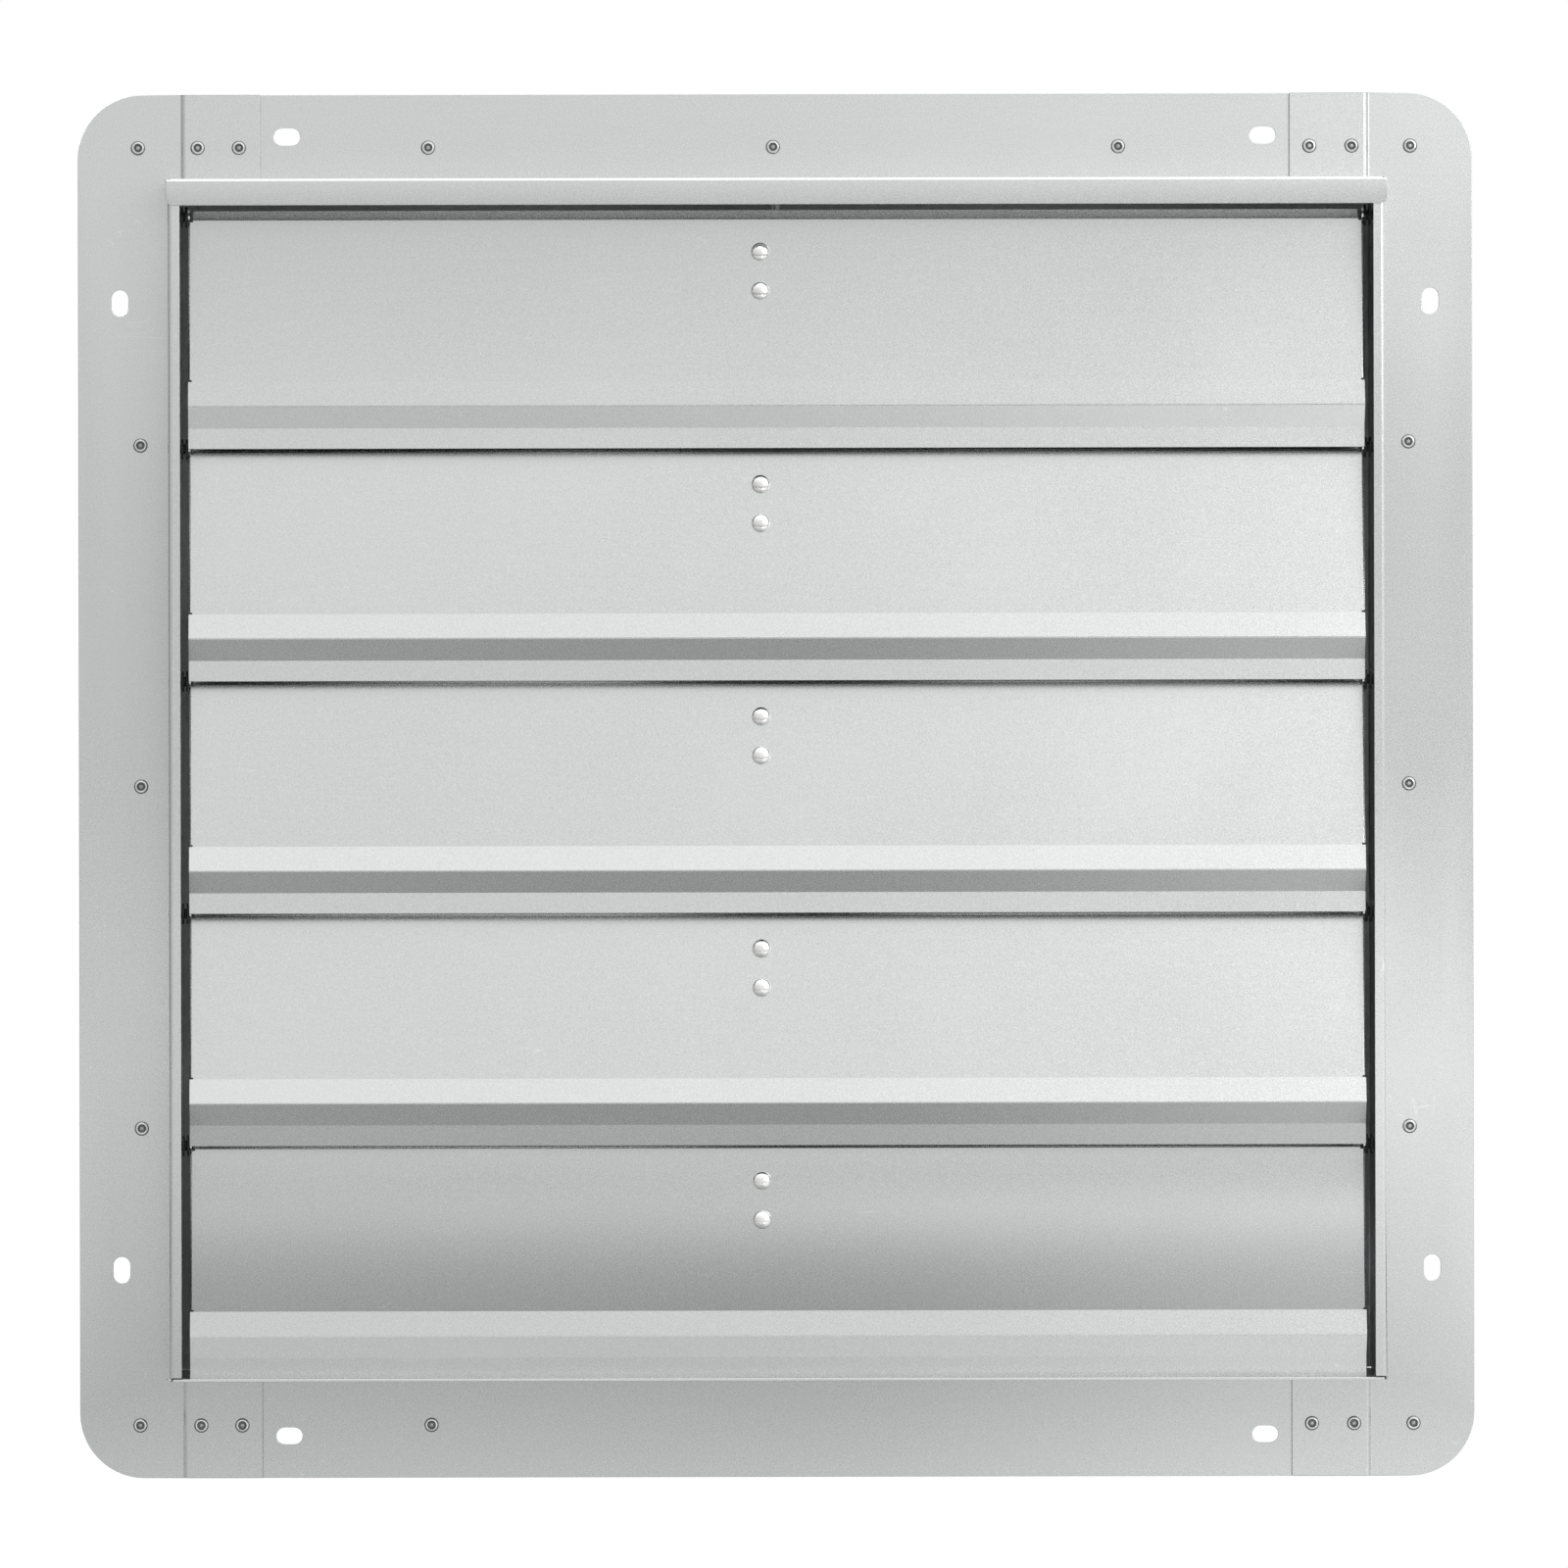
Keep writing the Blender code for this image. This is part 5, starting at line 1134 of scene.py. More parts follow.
POP_RIVETS = (
    [
        (x, 0.2862)
        for x in (-0.2855, -0.2587, -0.2402, -0.1554, -0.0008, 0.1539, 0.2396, 0.2585, 0.2848)
    ]
    + [(-0.2846, z) for z in (0.1529, 0.0, -0.1533)]
    + [(0.2838, z) for z in (0.1536, 0.0003, -0.1533)]
    + [(x, -0.2864) for x in (-0.2855, -0.2582, -0.2398, -0.1550, 0.2396, 0.2585, 0.2852)]
)


def pop_rivet_shapes(sizes):
    """Flange rivets: a low head with a sunk middle and the mandrel's end, and a flat tail."""
    scale = np.array([sizes.pop_radius, sizes.pop_height])
    head = [(0, 0), (1, 0), (1, 0.15), (0.90, 0.60), (0.80, 0.94)]
    head += [(0.64, 1), (0.56, 0.80), (0.52, 0.30), (0, 0.26)]
    stub = [(0, 0.2), (0.30, 0.2), (0.27, 0.66), (0, 0.74)]
    tail = [(0.0, 0.0), (0.0024, 0.0), (0.0023, 0.0003), (0.0013, 0.0004), (0.0011, 0.0001)]
    tail.append((0.0, 0.0001))
    head, stub = turned(head * scale, 32, 0.00008), turned(stub * scale, 14, 0.00015)
    tail = turned(tail, 20, 0.0001)
    reach = np.hypot(head.points[:, 0], head.points[:, 1]) / sizes.pop_radius
    # The head's outer rim and sunk middle carry the cut mark, which its finish paints dark. This is
    # painted shade for the contact ring and the recess.
    head.cut = ((reach > 0.89) | (reach < 0.58)).astype(float)
    heads, stubs = [], []
    for number, (x, z) in enumerate(POP_RIVETS):
        lapped = LAP_END < abs(x) < LAP_STEP and abs(z) > BOX_TOP
        face = (LAP_Y if lapped else FLANGE_Y) - SHEET_HALF
        lean = 0.03 * math.sin(number * 2.4)
        start = (math.cos(number), 0.0, math.sin(number))
        front = placed((x, face, z), (lean, -1.0, lean * 0.6), start)
        heads += [head.moved(front), tail.moved(placed((x, -0.0001, z), Y))]
        stubs.append(stub.moved(front))
    return joined(heads), joined(stubs)


LOUVER_TOP = [(0.0080, 0.0028), (0.0060, -0.0012), (-0.0015, -0.0012)]
LOUVER_FOLDS = ((0.0109, -0.0045), (0.0096, 0.0075), (0.0093, -0.0010))
LOUVER_LEANS = (
    (-6, 0, -14, 22, 1),
    (3, 3, -6, 2, 0),
    (3, 3, -4, 0, 1),
    (4, 4, -5, 0, -22),
    (-6, -28, -14, 40, -12),
)
LOUVER_HALF = 0.00045


def louver_corners():
    """Middle line of a louver's sheet as (y, z) from its hinge.

    It runs by upstand, shelf, face, kick, return and lip; the face takes what is left of the pitch.
    """
    pitch = (HINGES[0] - HINGES[1])[2] + 0.00002
    face = pitch + LOUVER_TOP[2][1] - sum(drop for drop, _ in LOUVER_FOLDS)
    corners = list(LOUVER_TOP)
    for drop, lean in ((face, -0.0100), *LOUVER_FOLDS):
        corners.append((corners[-1][0] + lean, corners[-1][1] - drop))
    return corners


def louver_shape(sizes, leans):
    """Louver about its hinge: the section carried along X, with an ear folded back at each end.

    Past the ends the blank leaves the section and follows a quarter bend out of the face's plane.
    leans are the degrees by which the normals of the face's top and bottom, the kick, the return
    and the lip turn up.
    """
    corners = louver_corners()
    section = Section(corners, sizes.louver_bend)
    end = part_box("louver_1")[1].x - sizes.louver_sheet / 2
    top, bottom = np.array(corners[2]), np.array(corners[3])
    down = (bottom - top) / np.linalg.norm(bottom - top)
    back = np.array([-down[1], down[0]])
    ear = Section([(0.0, 0.0), (end, 0.0), (end, 0.012)], 0.0006)
    start, finish_bend = ear.folds[0], ear.folds[-1]
    along = np.array([0.0, *down])
    behind = np.array([0.0, *back])
    level = carried(section, X, Y, Z)
    neck, corner, upright = section.leave[2] + 0.0006, section.station(2, 0.0), ear.station(1, 0.0)
    root, shelf, shear = section.folds[-18] - 0.0008, end - 0.0018, 2.0
    wide = shelf + 1e-5

    def fold(u, s):
        above = np.maximum(neck - s, 0.0)
        reach = np.abs(u) - shear * above
        point, angle = ear.at(reach)
        free = above > 1e-7
        point = np.where(free[:, None], np.stack([np.full(len(u), end), reach - upright], 1), point)
        angle = np.where(free, np.pi / 2, angle)
        side = np.sign(u)[:, None]
        place = side * point[:, :1] * X + point[:, 1:] * behind + np.array([0.0, *top])
        place = place + (s - corner)[:, None] * along
        cos, sin = np.cos(angle)[:, None], np.sin(angle)[:, None]
        turn_u = cos * X + side * (sin * behind - np.where(free, shear, 0.0)[:, None] * along)
        bent = (place, turn_u, np.broadcast_to(along, place.shape), cos * behind - side * sin * X)
        past = (np.abs(u) > np.where(free, shelf + 0.0005, start - 1e-7)) & (s < root + 0.0004)
        return [np.where(past[:, None], b, a) for a, b in zip(level(u, s), bent)]

    def on_blank(points):
        """Blank places of points (y, z) in the ear's plane, sheared clear of the shelf."""
        away = np.asarray(points) - top
        s = corner + away @ down
        return np.stack([upright + away @ back + shear * np.maximum(neck - s, 0.0), s], 1)

    eye = corner_arc((0.0, 0.0), 0.0046, 195, 45, 9)
    ear_line = on_blank(np.concatenate([eye, [(0.0060, 0.0020), (0.0060, -0.0120)]]))
    last, tip = section.marks[-1], end + sizes.louver_sheet / 2
    right = [(shelf, 0.0), (shelf, neck), (finish_bend + 0.0006, neck), *ear_line]
    right += [(upright + 0.0040, corner + 0.0200), (upright + 0.0040, root - 0.0040)]
    right += [(finish_bend + 0.0010, root), (start - 0.0006, root)]
    right += [(start - 0.0006, root + 0.0009), (tip, root + 0.0009), (tip, last)]
    right = np.array(right)
    outline = np.concatenate([right, (right * [-1, 1])[::-1]])
    hole = on_blank(circle((0.0, 0.0), 0.0020, 16))
    holes = [hole, hole * [-1, 1]]
    lower = section.folds > neck
    lines = [across_blank(section.folds[~lower], -wide, wide), across_blank(section.folds[lower])]
    lines.append(along_blank([*ear.folds, *-ear.folds], section.leave[2], root + 0.0004))
    marks = [section.leave[2], *section.folds[[-18, -13, -12, -7, -6, -1]], last]
    turns = -np.radians(np.array(leans)[[0, 1, 2, 2, 3, 3, 4, 4]])
    spring = lambda u, s: np.interp(s, marks, turns)[:, None] * X
    return folded_sheet(
        outline, fold, sizes.louver_sheet, lines, holes, sizes.cut_round / 2, 0.0004, spring
    )


def pivot_pin_shape(sizes):
    """Nylon pin along +X from the ear to the wall: tail, two collars with a neck, journal."""
    ear, wall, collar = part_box("louver_1")[1].x + FIT, BOX_SIDE - 0.0009, sizes.collar_radius
    neck, tail, tip = 0.0022, ear - 0.0018, wall + 0.0010
    profile = [(0.0, tail), (0.0017, tail), (0.0017, ear), (collar, ear), (collar, ear + 0.0010)]
    profile += [(neck, ear + 0.0010), (neck, ear + 0.0020), (collar, ear + 0.0020)]
    profile += [(collar, ear + 0.0030), (neck, ear + 0.0030), (neck, tip), (0.0, tip)]
    return turned(profile, 28, 0.00025)


def face_place(drop, lift=0.0):
    """Point of a louver's face at a drop below the hinge and a lift to the back, and its axes."""
    top, bottom = (np.array(corner) for corner in louver_corners()[2:4])
    down = (bottom - top) / np.linalg.norm(bottom - top)
    back = np.array([-down[1], down[0]])
    y, z = top + (bottom - top) * (top[1] + drop) / (top[1] - bottom[1]) + back * lift
    return np.array([0.0, y, z]), np.array([0.0, *back]), np.array([0.0, *down])


RIVET_X = -0.0070
RIVET_DROPS = (0.0161, 0.0335)
WEB_X = RIVET_X + 0.0060
LINK_EYE = 0.022 * np.array([0.0, math.cos(math.radians(25)), math.sin(math.radians(25))])


def domed_rivet_shape(drop, sizes):
    """Louver rivet: domed head in front, shank, and a set tail behind the bracket's foot."""
    front, back, _ = face_place(drop, -LOUVER_HALF - 0.00005)
    tail, _, _ = face_place(drop, LOUVER_HALF + FIT + 0.0012)
    head = dome(sizes.dome_radius, sizes.dome_height, 0.00025, 40)
    head = head.moved(placed(front + RIVET_X * X, -back))
    shank = turned([(0.0, 0.0), (0.0020, 0.0), (0.0020, 0.0030), (0.0, 0.0030)], 20)
    set_end = turned(
        [(0.0, 0.0), (0.0031, 0.0), (0.0029, 0.0009), (0.0018, 0.0014), (0.0, 0.0014)], 28
    )
    shank = shank.moved(placed(front + RIVET_X * X, back))
    return joined([head, shank, set_end.moved(placed(tail + RIVET_X * X, back))])


def link_bracket_shape(sizes):
    """Bracket behind the face: a foot along it and a web folded back that ends in an eye."""
    lift = LOUVER_HALF + FIT + sizes.link_sheet / 2
    top, back, down = face_place(0.0100, lift)
    section = Section([(RIVET_X - 0.0060, 0.0), (WEB_X, 0.0), (WEB_X, 0.030)], 0.0014)
    foot_length = 0.0300 / abs(down[2])

    def to_web(y, z):
        """Blank place (u, s) of a point (y, z) in the web's plane."""
        away = np.array([0.0, y, z]) - top
        return away @ down, section.station(1, away @ back)

    eye = corner_arc(LINK_EYE[1:], 0.0050, 165, -35, 14)
    web = [to_web(0.0120, top[2])] + [to_web(*point) for point in eye]
    bend = section.folds[-1] + 0.0003
    outline = [(0.0, 0.0), (0.0, bend)] + web + [(foot_length, bend), (foot_length, 0.0)]
    holes = [
        circle(((face_place(drop, lift)[0] - top) @ down, 0.0060), 0.0021, 18)
        for drop in RIVET_DROPS
    ]
    holes.append(circle(to_web(*LINK_EYE[1:]), 0.0024, 18))
    return bent_sheet(
        section, (down, X, back), outline, sizes.link_sheet, holes, 0.0002, 0.0012, origin=top
    )


def link_pin_shape():
    """Shouldered pin along X through the bracket's web and the tie bar, its two heads set."""
    half, head = 0.0021, 0.0011
    profile = [(0.0, -half - head), (0.0034, -half - head), (0.0038, -half), (0.0021, -half)]
    profile += [(0.0021, half), (0.0038, half), (0.0034, half + head), (0.0, half + head)]
    return turned(profile, 28, 0.0003).moved(placed(LINK_EYE + (WEB_X + 0.0012) * X, X))


def tie_bar_shape():
    """Flat bar with round ends and five pin holes, in a plane square to X."""
    low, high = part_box("tie_bar")
    middle_y, half = (low.y + high.y) / 2, (high.y - low.y) / 2
    angle, radius = np.radians(np.linspace(-90, 90, 13)), 0.0045
    end = np.stack([radius * np.cos(angle), half * np.sin(angle)], 1)
    lift = np.array([(high.z + low.z) / 2, 0.1])
    reach = np.array([(high.z - low.z) / 2 - radius, 0.0])
    plane = Section([(-0.1, 0.0), (0.1, 0.0)], 0.0)
    fold = carried(plane, Z, Y, X, ((low.x + high.x) / 2, middle_y, 0.0))
    holes = [
        circle((hinge[2] + LINK_EYE[2], hinge[1] + LINK_EYE[1] - middle_y + 0.1), 0.0025, 20)
        for hinge in HINGES
    ]
    outline = np.concatenate([end + reach, -end - reach]) + lift
    return folded_sheet(outline, fold, high.x - low.x, (), holes, 0.0003, 0.0002)


def housing_side_shape(side, sizes):
    """Housing side: rivet flange, wall and rear flange in one section carried along Z."""
    sheet = sizes.frame_sheet
    wall = BOX_SIDE - sheet / 2
    front, rear = -sheet / 2, HOUSING_REAR - sheet / 2
    corners = [(RIVET_FRAME_SIDE, front), (wall, front), (wall, rear), (wall - REAR_FLANGE, rear)]
    section = Section(corners, sizes.bend_radius)
    low, high = BOX_BOTTOM + sheet + FIT, BOX_TOP - sheet - FIT
    step, front = section.leave[1] - 0.0028, section.station(2, 0.0) - 0.0003
    last, half = section.marks[-1], []
    for z, inner, tall in ((BOX_BOTTOM, low, -RIVET_FRAME_END), (BOX_TOP, high, RIVET_FRAME_END)):
        half.append(
            [(tall, 0.0), (tall, step), (z, step), (z, front), (inner, front), (inner, last)]
        )
    outline = half[0] + half[1][::-1]
    return bent_sheet(section, (Z, side * X, Y), outline, sheet, (), sizes.cut_round)


def housing_level_shape(end, sizes):
    """Top or bottom of the housing, its rivet flange relieved behind the slots."""
    sheet = sizes.frame_sheet
    wall = BOX_TOP - sheet / 2 if end > 0 else BOX_BOTTOM + sheet / 2
    front, rear = -sheet / 2, HOUSING_REAR - sheet / 2
    corners = [(front, end * RIVET_FRAME_END), (front, wall), (rear, wall)]
    corners.append((rear, wall - end * REAR_FLANGE))
    section = Section(corners, sizes.bend_radius)
    half, rear = BOX_SIDE - sheet - FIT, BOX_SIDE - sheet - FIT - REAR_FLANGE
    front, last = section.station(2, 0.0) - 0.0003, section.marks[-1]
    relief = 0.0053 - (RIVET_FRAME_END - (HALF_HEIGHT - SLOT_EDGE))
    outline = [(-half, 0.0)]
    for x in (-LEVEL_SLOT_X, LEVEL_SLOT_X):
        outline += [(x - 0.0074, 0.0), (x - 0.0074, relief), (x - 0.0048, relief + 0.0022)]
        outline += [(x + 0.0048, relief + 0.0022), (x + 0.0074, relief), (x + 0.0074, 0.0)]
    outline += [(half, 0.0), (half, front), (rear, front), (rear, last)]
    outline += [(-rear, last), (-rear, front), (-half, front)]
    return bent_sheet(section, (X, Y, Z), outline, sheet, (), sizes.cut_round)


def orifice_shape(sides=144):
    """Square panel drawn forward into a round throat.

    Each point goes out from the fan axis along its own angle: by the throat's section near the
    opening, then in a straight line to the edge of the rectangle.
    """
    sheet, radius = 0.0012, 0.2506
    plane = PANEL_REAR - sheet / 2
    section = Section([(radius, THROAT_FRONT), (radius, plane), (radius + 0.012, plane)], 0.0050, 8)
    ray = upright_ring(sides)
    half = np.array([BOX_SIDE, (BOX_TOP - BOX_BOTTOM) / 2])
    reach = 1 / np.maximum(np.abs(ray[:, 0]) / half[0], np.abs(ray[:, 2]) / half[1])
    rings = section.points[:, :1, None] * ray + section.points[:, 1:, None] * Y
    out, up = np.sin(section.angles)[:, None, None], -np.cos(section.angles)[:, None, None]
    shares = np.linspace(0.0, 1.0, 4)[1:, None, None]
    flat = rings[-1] + (reach[:, None] * ray + plane * Y - rings[-1]) * shares
    normals = np.concatenate([out * ray + up * Y, np.broadcast_to(-Y, flat.shape)])
    return slab(np.concatenate([rings, flat]), sheet, normals, True).moved(placed(MOTOR_AXIS, Z, X))


def strap_shape(side, sizes):
    """Motor strap: feet on the panel and a span set back, one section carried along Z."""
    low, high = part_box("motor_strap_upper" if side > 0 else "motor_strap_lower")
    foot = PANEL_REAR + FIT + sizes.strap_sheet / 2
    span, end, knee = foot + 0.0107, BOX_SIDE - 0.0020, 0.25125
    stops = [(-end, foot), (-knee, foot), (-knee + 0.0030, span)]
    stops += [(knee - 0.0030, span), (knee, foot), (end, foot)]
    section = Section(stops, 0.0020)
    last = section.marks[-1]
    outline = [(low.z, 0.0), (high.z, 0.0), (high.z, last), (low.z, last)]
    return bent_sheet(section, (Z, X, Y), outline, sizes.strap_sheet, (), 0.0003, 0.003)


BLADES = 3
BLADE_HALF, ARM_SHEET, ARM_HALF_CHORD = 0.0008, 0.0025, 0.020
ROOT_CHORD, TIP_CHORD = 0.095, 0.178
ROOT_RADIUS, TIP_RADIUS = 0.055, 0.245
ROOT_PITCH, TIP_PITCH = math.radians(27), math.radians(15)


def blade_place(radius, across, half_chord, setback=0.0, turn=0.0):
    """Point of a blade: along = across * half chord, then a helix point (r sin a, y, r cos a).

    a is turn + along * cos(pitch) / r, and y is along * sin(pitch) less the camber's parabola,
    plus the setback.
    """
    share = np.maximum((radius - ROOT_RADIUS) / (TIP_RADIUS - ROOT_RADIUS), 0.0)
    pitch = ROOT_PITCH + (TIP_PITCH - ROOT_PITCH) * share
    along = across * half_chord
    camber = 0.006 * (1 - (along / (TIP_CHORD / 2)) ** 2)
    angle = turn + along * np.cos(pitch) / radius
    y = FAN_CENTRE[1] + along * np.sin(pitch) - camber + setback
    return np.stack([radius * np.sin(angle), y, radius * np.cos(angle) + FAN_CENTRE[2]], -1)


def rounded_patch(rows, columns, corner_u, corner_v):
    """Unit grid (-1 to 1 both ways) drawn in at its four corners by quarter ellipses."""
    u, v = np.meshgrid(np.linspace(-1, 1, rows), np.linspace(-1, 1, columns), indexing="ij")
    over = np.maximum(np.abs(u) - (1 - corner_u), 0.0) / corner_u
    width = 1 - corner_v * (1 - np.sqrt(np.maximum(1 - over**2, 0.0)))
    return u, v * width


def blade_shape(turn, sizes):
    """Pressed blade: a helix patch with rounded corners, thickened."""
    u, v = rounded_patch(61, 41, 0.12, 0.16)
    radius = ROOT_RADIUS + (sizes.tip_radius - ROOT_RADIUS) * (u + 1) / 2
    half = (ROOT_CHORD + (TIP_CHORD - ROOT_CHORD) * (u + 1) / 2) / 2
    grid = blade_place(radius, v, half, 0.0, turn)
    return slab(grid, sizes.blade_sheet)


def arm_shape(turn):
    """Arm of the hub behind a blade."""
    u, v = rounded_patch(25, 13, 0.10, 0.5)
    radius = 0.015 + (0.110 - 0.015) * (u + 1) / 2
    setback = (BLADE_HALF + ARM_SHEET / 2 + FIT) / math.cos(ROOT_PITCH)
    return slab(blade_place(radius, v, ARM_HALF_CHORD, setback, turn), ARM_SHEET)


def blade_rivets_shape(turn):
    """Six domed rivets that hold a blade to its arm."""
    head, step = dome(0.0040, 0.0018, 0.0003, 20), 1e-4
    shapes = []
    for radius in (0.066, 0.082, 0.098):
        for across in (-0.5, 0.5):
            radii, shares = radius + np.array([0.0, step, 0.0]), across + np.array([0.0, 0.0, step])
            spots = blade_place(radii, shares, ARM_HALF_CHORD, 0.0, turn)
            normal = np.cross(spots[1] - spots[0], spots[2] - spots[0])
            normal *= -np.sign(normal[1]) / np.linalg.norm(normal)
            behind = spots[0] - normal * (BLADE_HALF + FIT + ARM_SHEET)
            shapes.append(head.moved(placed(spots[0] + normal * BLADE_HALF, normal)))
            shapes.append(head.moved(placed(behind, -normal)))
    return joined(shapes)


def hub_shape():
    """Turned hub with a collar round its bore, and the arms."""
    front, rear = FAN_CENTRE[1] - 0.012, FAN_CENTRE[1] + 0.012
    corners = [(0.0063, front), (0.0063, rear), (0.0275, rear), (0.028, rear - 0.002)]
    corners += [(0.028, front + 0.005), (0.024, front + 0.001), (0.018, front)]
    hub = turned(ring_closed(corners), 48, 0.0006).moved(placed(MOTOR_AXIS, Y, X))
    return joined([hub] + [arm_shape(2 * math.pi * k / BLADES) for k in range(BLADES)])


def motor_body_shape(sizes):
    """Motor shell: a cylinder with two shallow rolled beads."""
    low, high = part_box("motor_body")
    front, rear, radius = low.y, high.y, sizes.motor_radius
    profile = [(0.0, front), (radius - 0.0012, front), (radius, front + 0.0012)]
    for mark in (0.0075, 0.0305):
        base = front + mark
        profile += [(radius, base), (radius - 0.0009, base + 0.0012)]
        profile += [(radius - 0.0009, base + 0.0026), (radius, base + 0.0038)]
    profile += [(radius, rear - 0.0012), (radius - 0.0012, rear), (0.0, rear)]
    return turned(profile, 96, 0.0006, 4).moved(placed(MOTOR_AXIS, Y, X))


def front_bell_shape(sizes):
    """Front end cap: a turned bell with a boss, bored for the shaft."""
    low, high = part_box("motor_cap_front")
    radius, tip, seat = sizes.motor_radius, low.y, high.y
    corners = [(0.0066, seat), (0.0066, tip), (0.0145, tip), (0.0155, tip + 0.0008)]
    corners += [(radius - 0.0085, tip + 0.0008), (radius - 0.0010, seat - 0.0052)]
    corners += [(radius, seat - 0.0044), (radius, seat)]
    return turned(ring_closed(corners), 144, 0.0008).moved(placed(MOTOR_AXIS, Y, X))


def rear_bell_shape(sizes):
    """Rear end cap: a pressed bell whose face has slots between radial ribs.

    The face is a polar grid; its depth is 3 mm times a smooth step in cos(12 a) and one in r.
    """
    low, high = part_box("motor_cap_rear")
    radius, seat, tip = sizes.motor_radius, low.y, high.y
    shelf = tip - 0.0020
    corners = [
        (0.0, tip), (0.0188, tip), (0.0200, tip - 0.0008), (0.0215, shelf), (radius - 0.0085, shelf)
    ]
    corners += [
        (radius - 0.0010, seat + 0.0040), (radius, seat + 0.0032), (radius, seat), (0.0, seat)
    ]
    section = Section(corners, 0.0008, 3)
    marks = np.unique(
        np.round(np.concatenate([section.marks, np.linspace(0.0, section.marks[-1], 130)]), 6)
    )
    line, heading = section.at(marks)
    ring = upright_ring(144)
    band = smooth_step((line[:, 0] - 0.0245) / 0.0020)
    band *= smooth_step((radius - 0.0105 - line[:, 0]) / 0.0020)
    band *= np.abs(line[:, 1] - shelf) < 0.0005
    sunk = 0.0030 * band[:, None] * smooth_step((np.cos(12 * full_turn(144)) - 0.05) / 0.30)
    points = line[:, :1, None] * ring + (line[:, 1:] - sunk)[..., None] * Y
    plain = -np.sin(heading)[:, None, None] * ring + np.cos(heading)[:, None, None] * Y
    bent = grid_normals(points, (False, True))
    bent *= np.sign((bent * plain).sum(-1, keepdims=True))
    normals = np.where(sunk[..., None] == 0.0, plain, bent)
    return grid_shape(points, normals, (False, True), (True, True)).moved(placed(MOTOR_AXIS, Z, X))


FOUR_CORNERS = [(x, z) for x in (-1, 1) for z in (-1, 1)]
PAN_HEAD = (
    (0.0, 0.0), (0.0036, 0.0), (0.0036, 0.0008), (0.0029, 0.0020), (0.0012, 0.0024),
    (0.0010, 0.0014), (0.0, 0.0013)
)
WASHER_SHEET = 0.0007


def washer_shape(radius):
    """Plain washer."""
    return turned([(0.0, 0.0), (radius, 0.0), (radius, WASHER_SHEET), (0.0, WASHER_SHEET)], 32)


def motor_screw_shapes(sizes):
    """Through screws of the motor: hexagon heads on the rear cap, and nuts on the straps."""
    profile = [(0.0, 0.0), (0.0040, 0.0), (0.0040, 0.0026), (0.0034, 0.0032), (0.0, 0.0032)]
    head, washer, reach = turned(profile, 48, 0.0002, 2, hexagon), washer_shape(0.0052), 0.0335
    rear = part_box("motor_cap_rear")[1].y - 0.0020
    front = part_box("motor_strap_upper")[1].y - sizes.strap_sheet
    shapes = []
    for x, z in FOUR_CORNERS:
        far = np.array([x * reach, rear, RISE + z * reach])
        near = np.array([x * reach, front, RISE + z * STRAP_RISE])
        shapes += [head.moved(placed(far, Y)), washer.moved(placed(near, -Y))]
        shapes.append(head.moved(placed(near - WASHER_SHEET * Y, -Y)))
    return joined(shapes)


def strap_screw_shapes():
    """Pan-head screws with washers, one for each strap foot."""
    washer, head, reach = washer_shape(0.0055), turned(PAN_HEAD, 32, 0.0003), 0.2660
    shapes = []
    for x, z in FOUR_CORNERS:
        spot = np.array([x * reach, STRAP_FOOT_REAR, RISE + z * STRAP_RISE])
        shapes += [washer.moved(placed(spot, Y)), head.moved(placed(spot + WASHER_SHEET * Y, Y))]
    return joined(shapes)


GUARD_RIM = 0.262
GUARD_EYE = 0.030
GUARD_RIM_WIRE = 0.0020
GUARD_RIM_Y = STRAP_FOOT_REAR + FIT + GUARD_RIM_WIRE


def guard_section():
    """Side line of the guard as (radius, y), from rim to middle."""
    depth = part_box("wire_guard")[1].y - 0.0024 - GUARD_RIM_Y
    shares = [
        (1.0, 0.0), (0.965, 0.24), (0.89, 0.50), (0.76, 0.73), (0.60, 0.88), (0.40, 0.97),
        (0.0, 1.0)
    ]
    return Section([(r * GUARD_RIM, GUARD_RIM_Y + h * depth) for r, h in shares], 0.03, 6)


def spoke(turn):
    """Direction away from the fan axis at an angle, and the direction square to it."""
    cos, sin = math.cos(turn), math.sin(turn)
    return np.array([cos, 0, sin]), np.array([-sin, 0, cos])


def guard_shape(sizes):
    """Welded guard: rings about the fan axis on the side line, and spokes that follow it."""
    section = guard_section()
    marks = np.linspace(0.0, section.marks[-1], 400)
    line, _ = section.at(marks)
    shapes = []
    for number in range(sizes.guard_rings + 1):
        radius = GUARD_RIM - (GUARD_RIM - GUARD_EYE) * number / sizes.guard_rings
        y = np.interp(-radius, -line[:, 0], line[:, 1])
        wire = GUARD_RIM_WIRE if number == 0 else sizes.guard_wire
        shapes.append(tube(radius * upright_ring(96) + y * Y, wire, Y, 8, True))
    stop = np.interp(-GUARD_EYE, -line[:, 0], marks)
    path, _ = section.at(np.linspace(0.0, stop, 44))
    for number in range(12):
        ray, side = spoke(2 * math.pi * (number + 0.5) / 12)
        along = path[:, :1] * ray + (path[:, 1:] + GUARD_RIM_WIRE) * Y
        shapes.append(tube(along, sizes.guard_wire, side, 8))
    return joined(shapes).moved(placed(MOTOR_AXIS, Z, X))


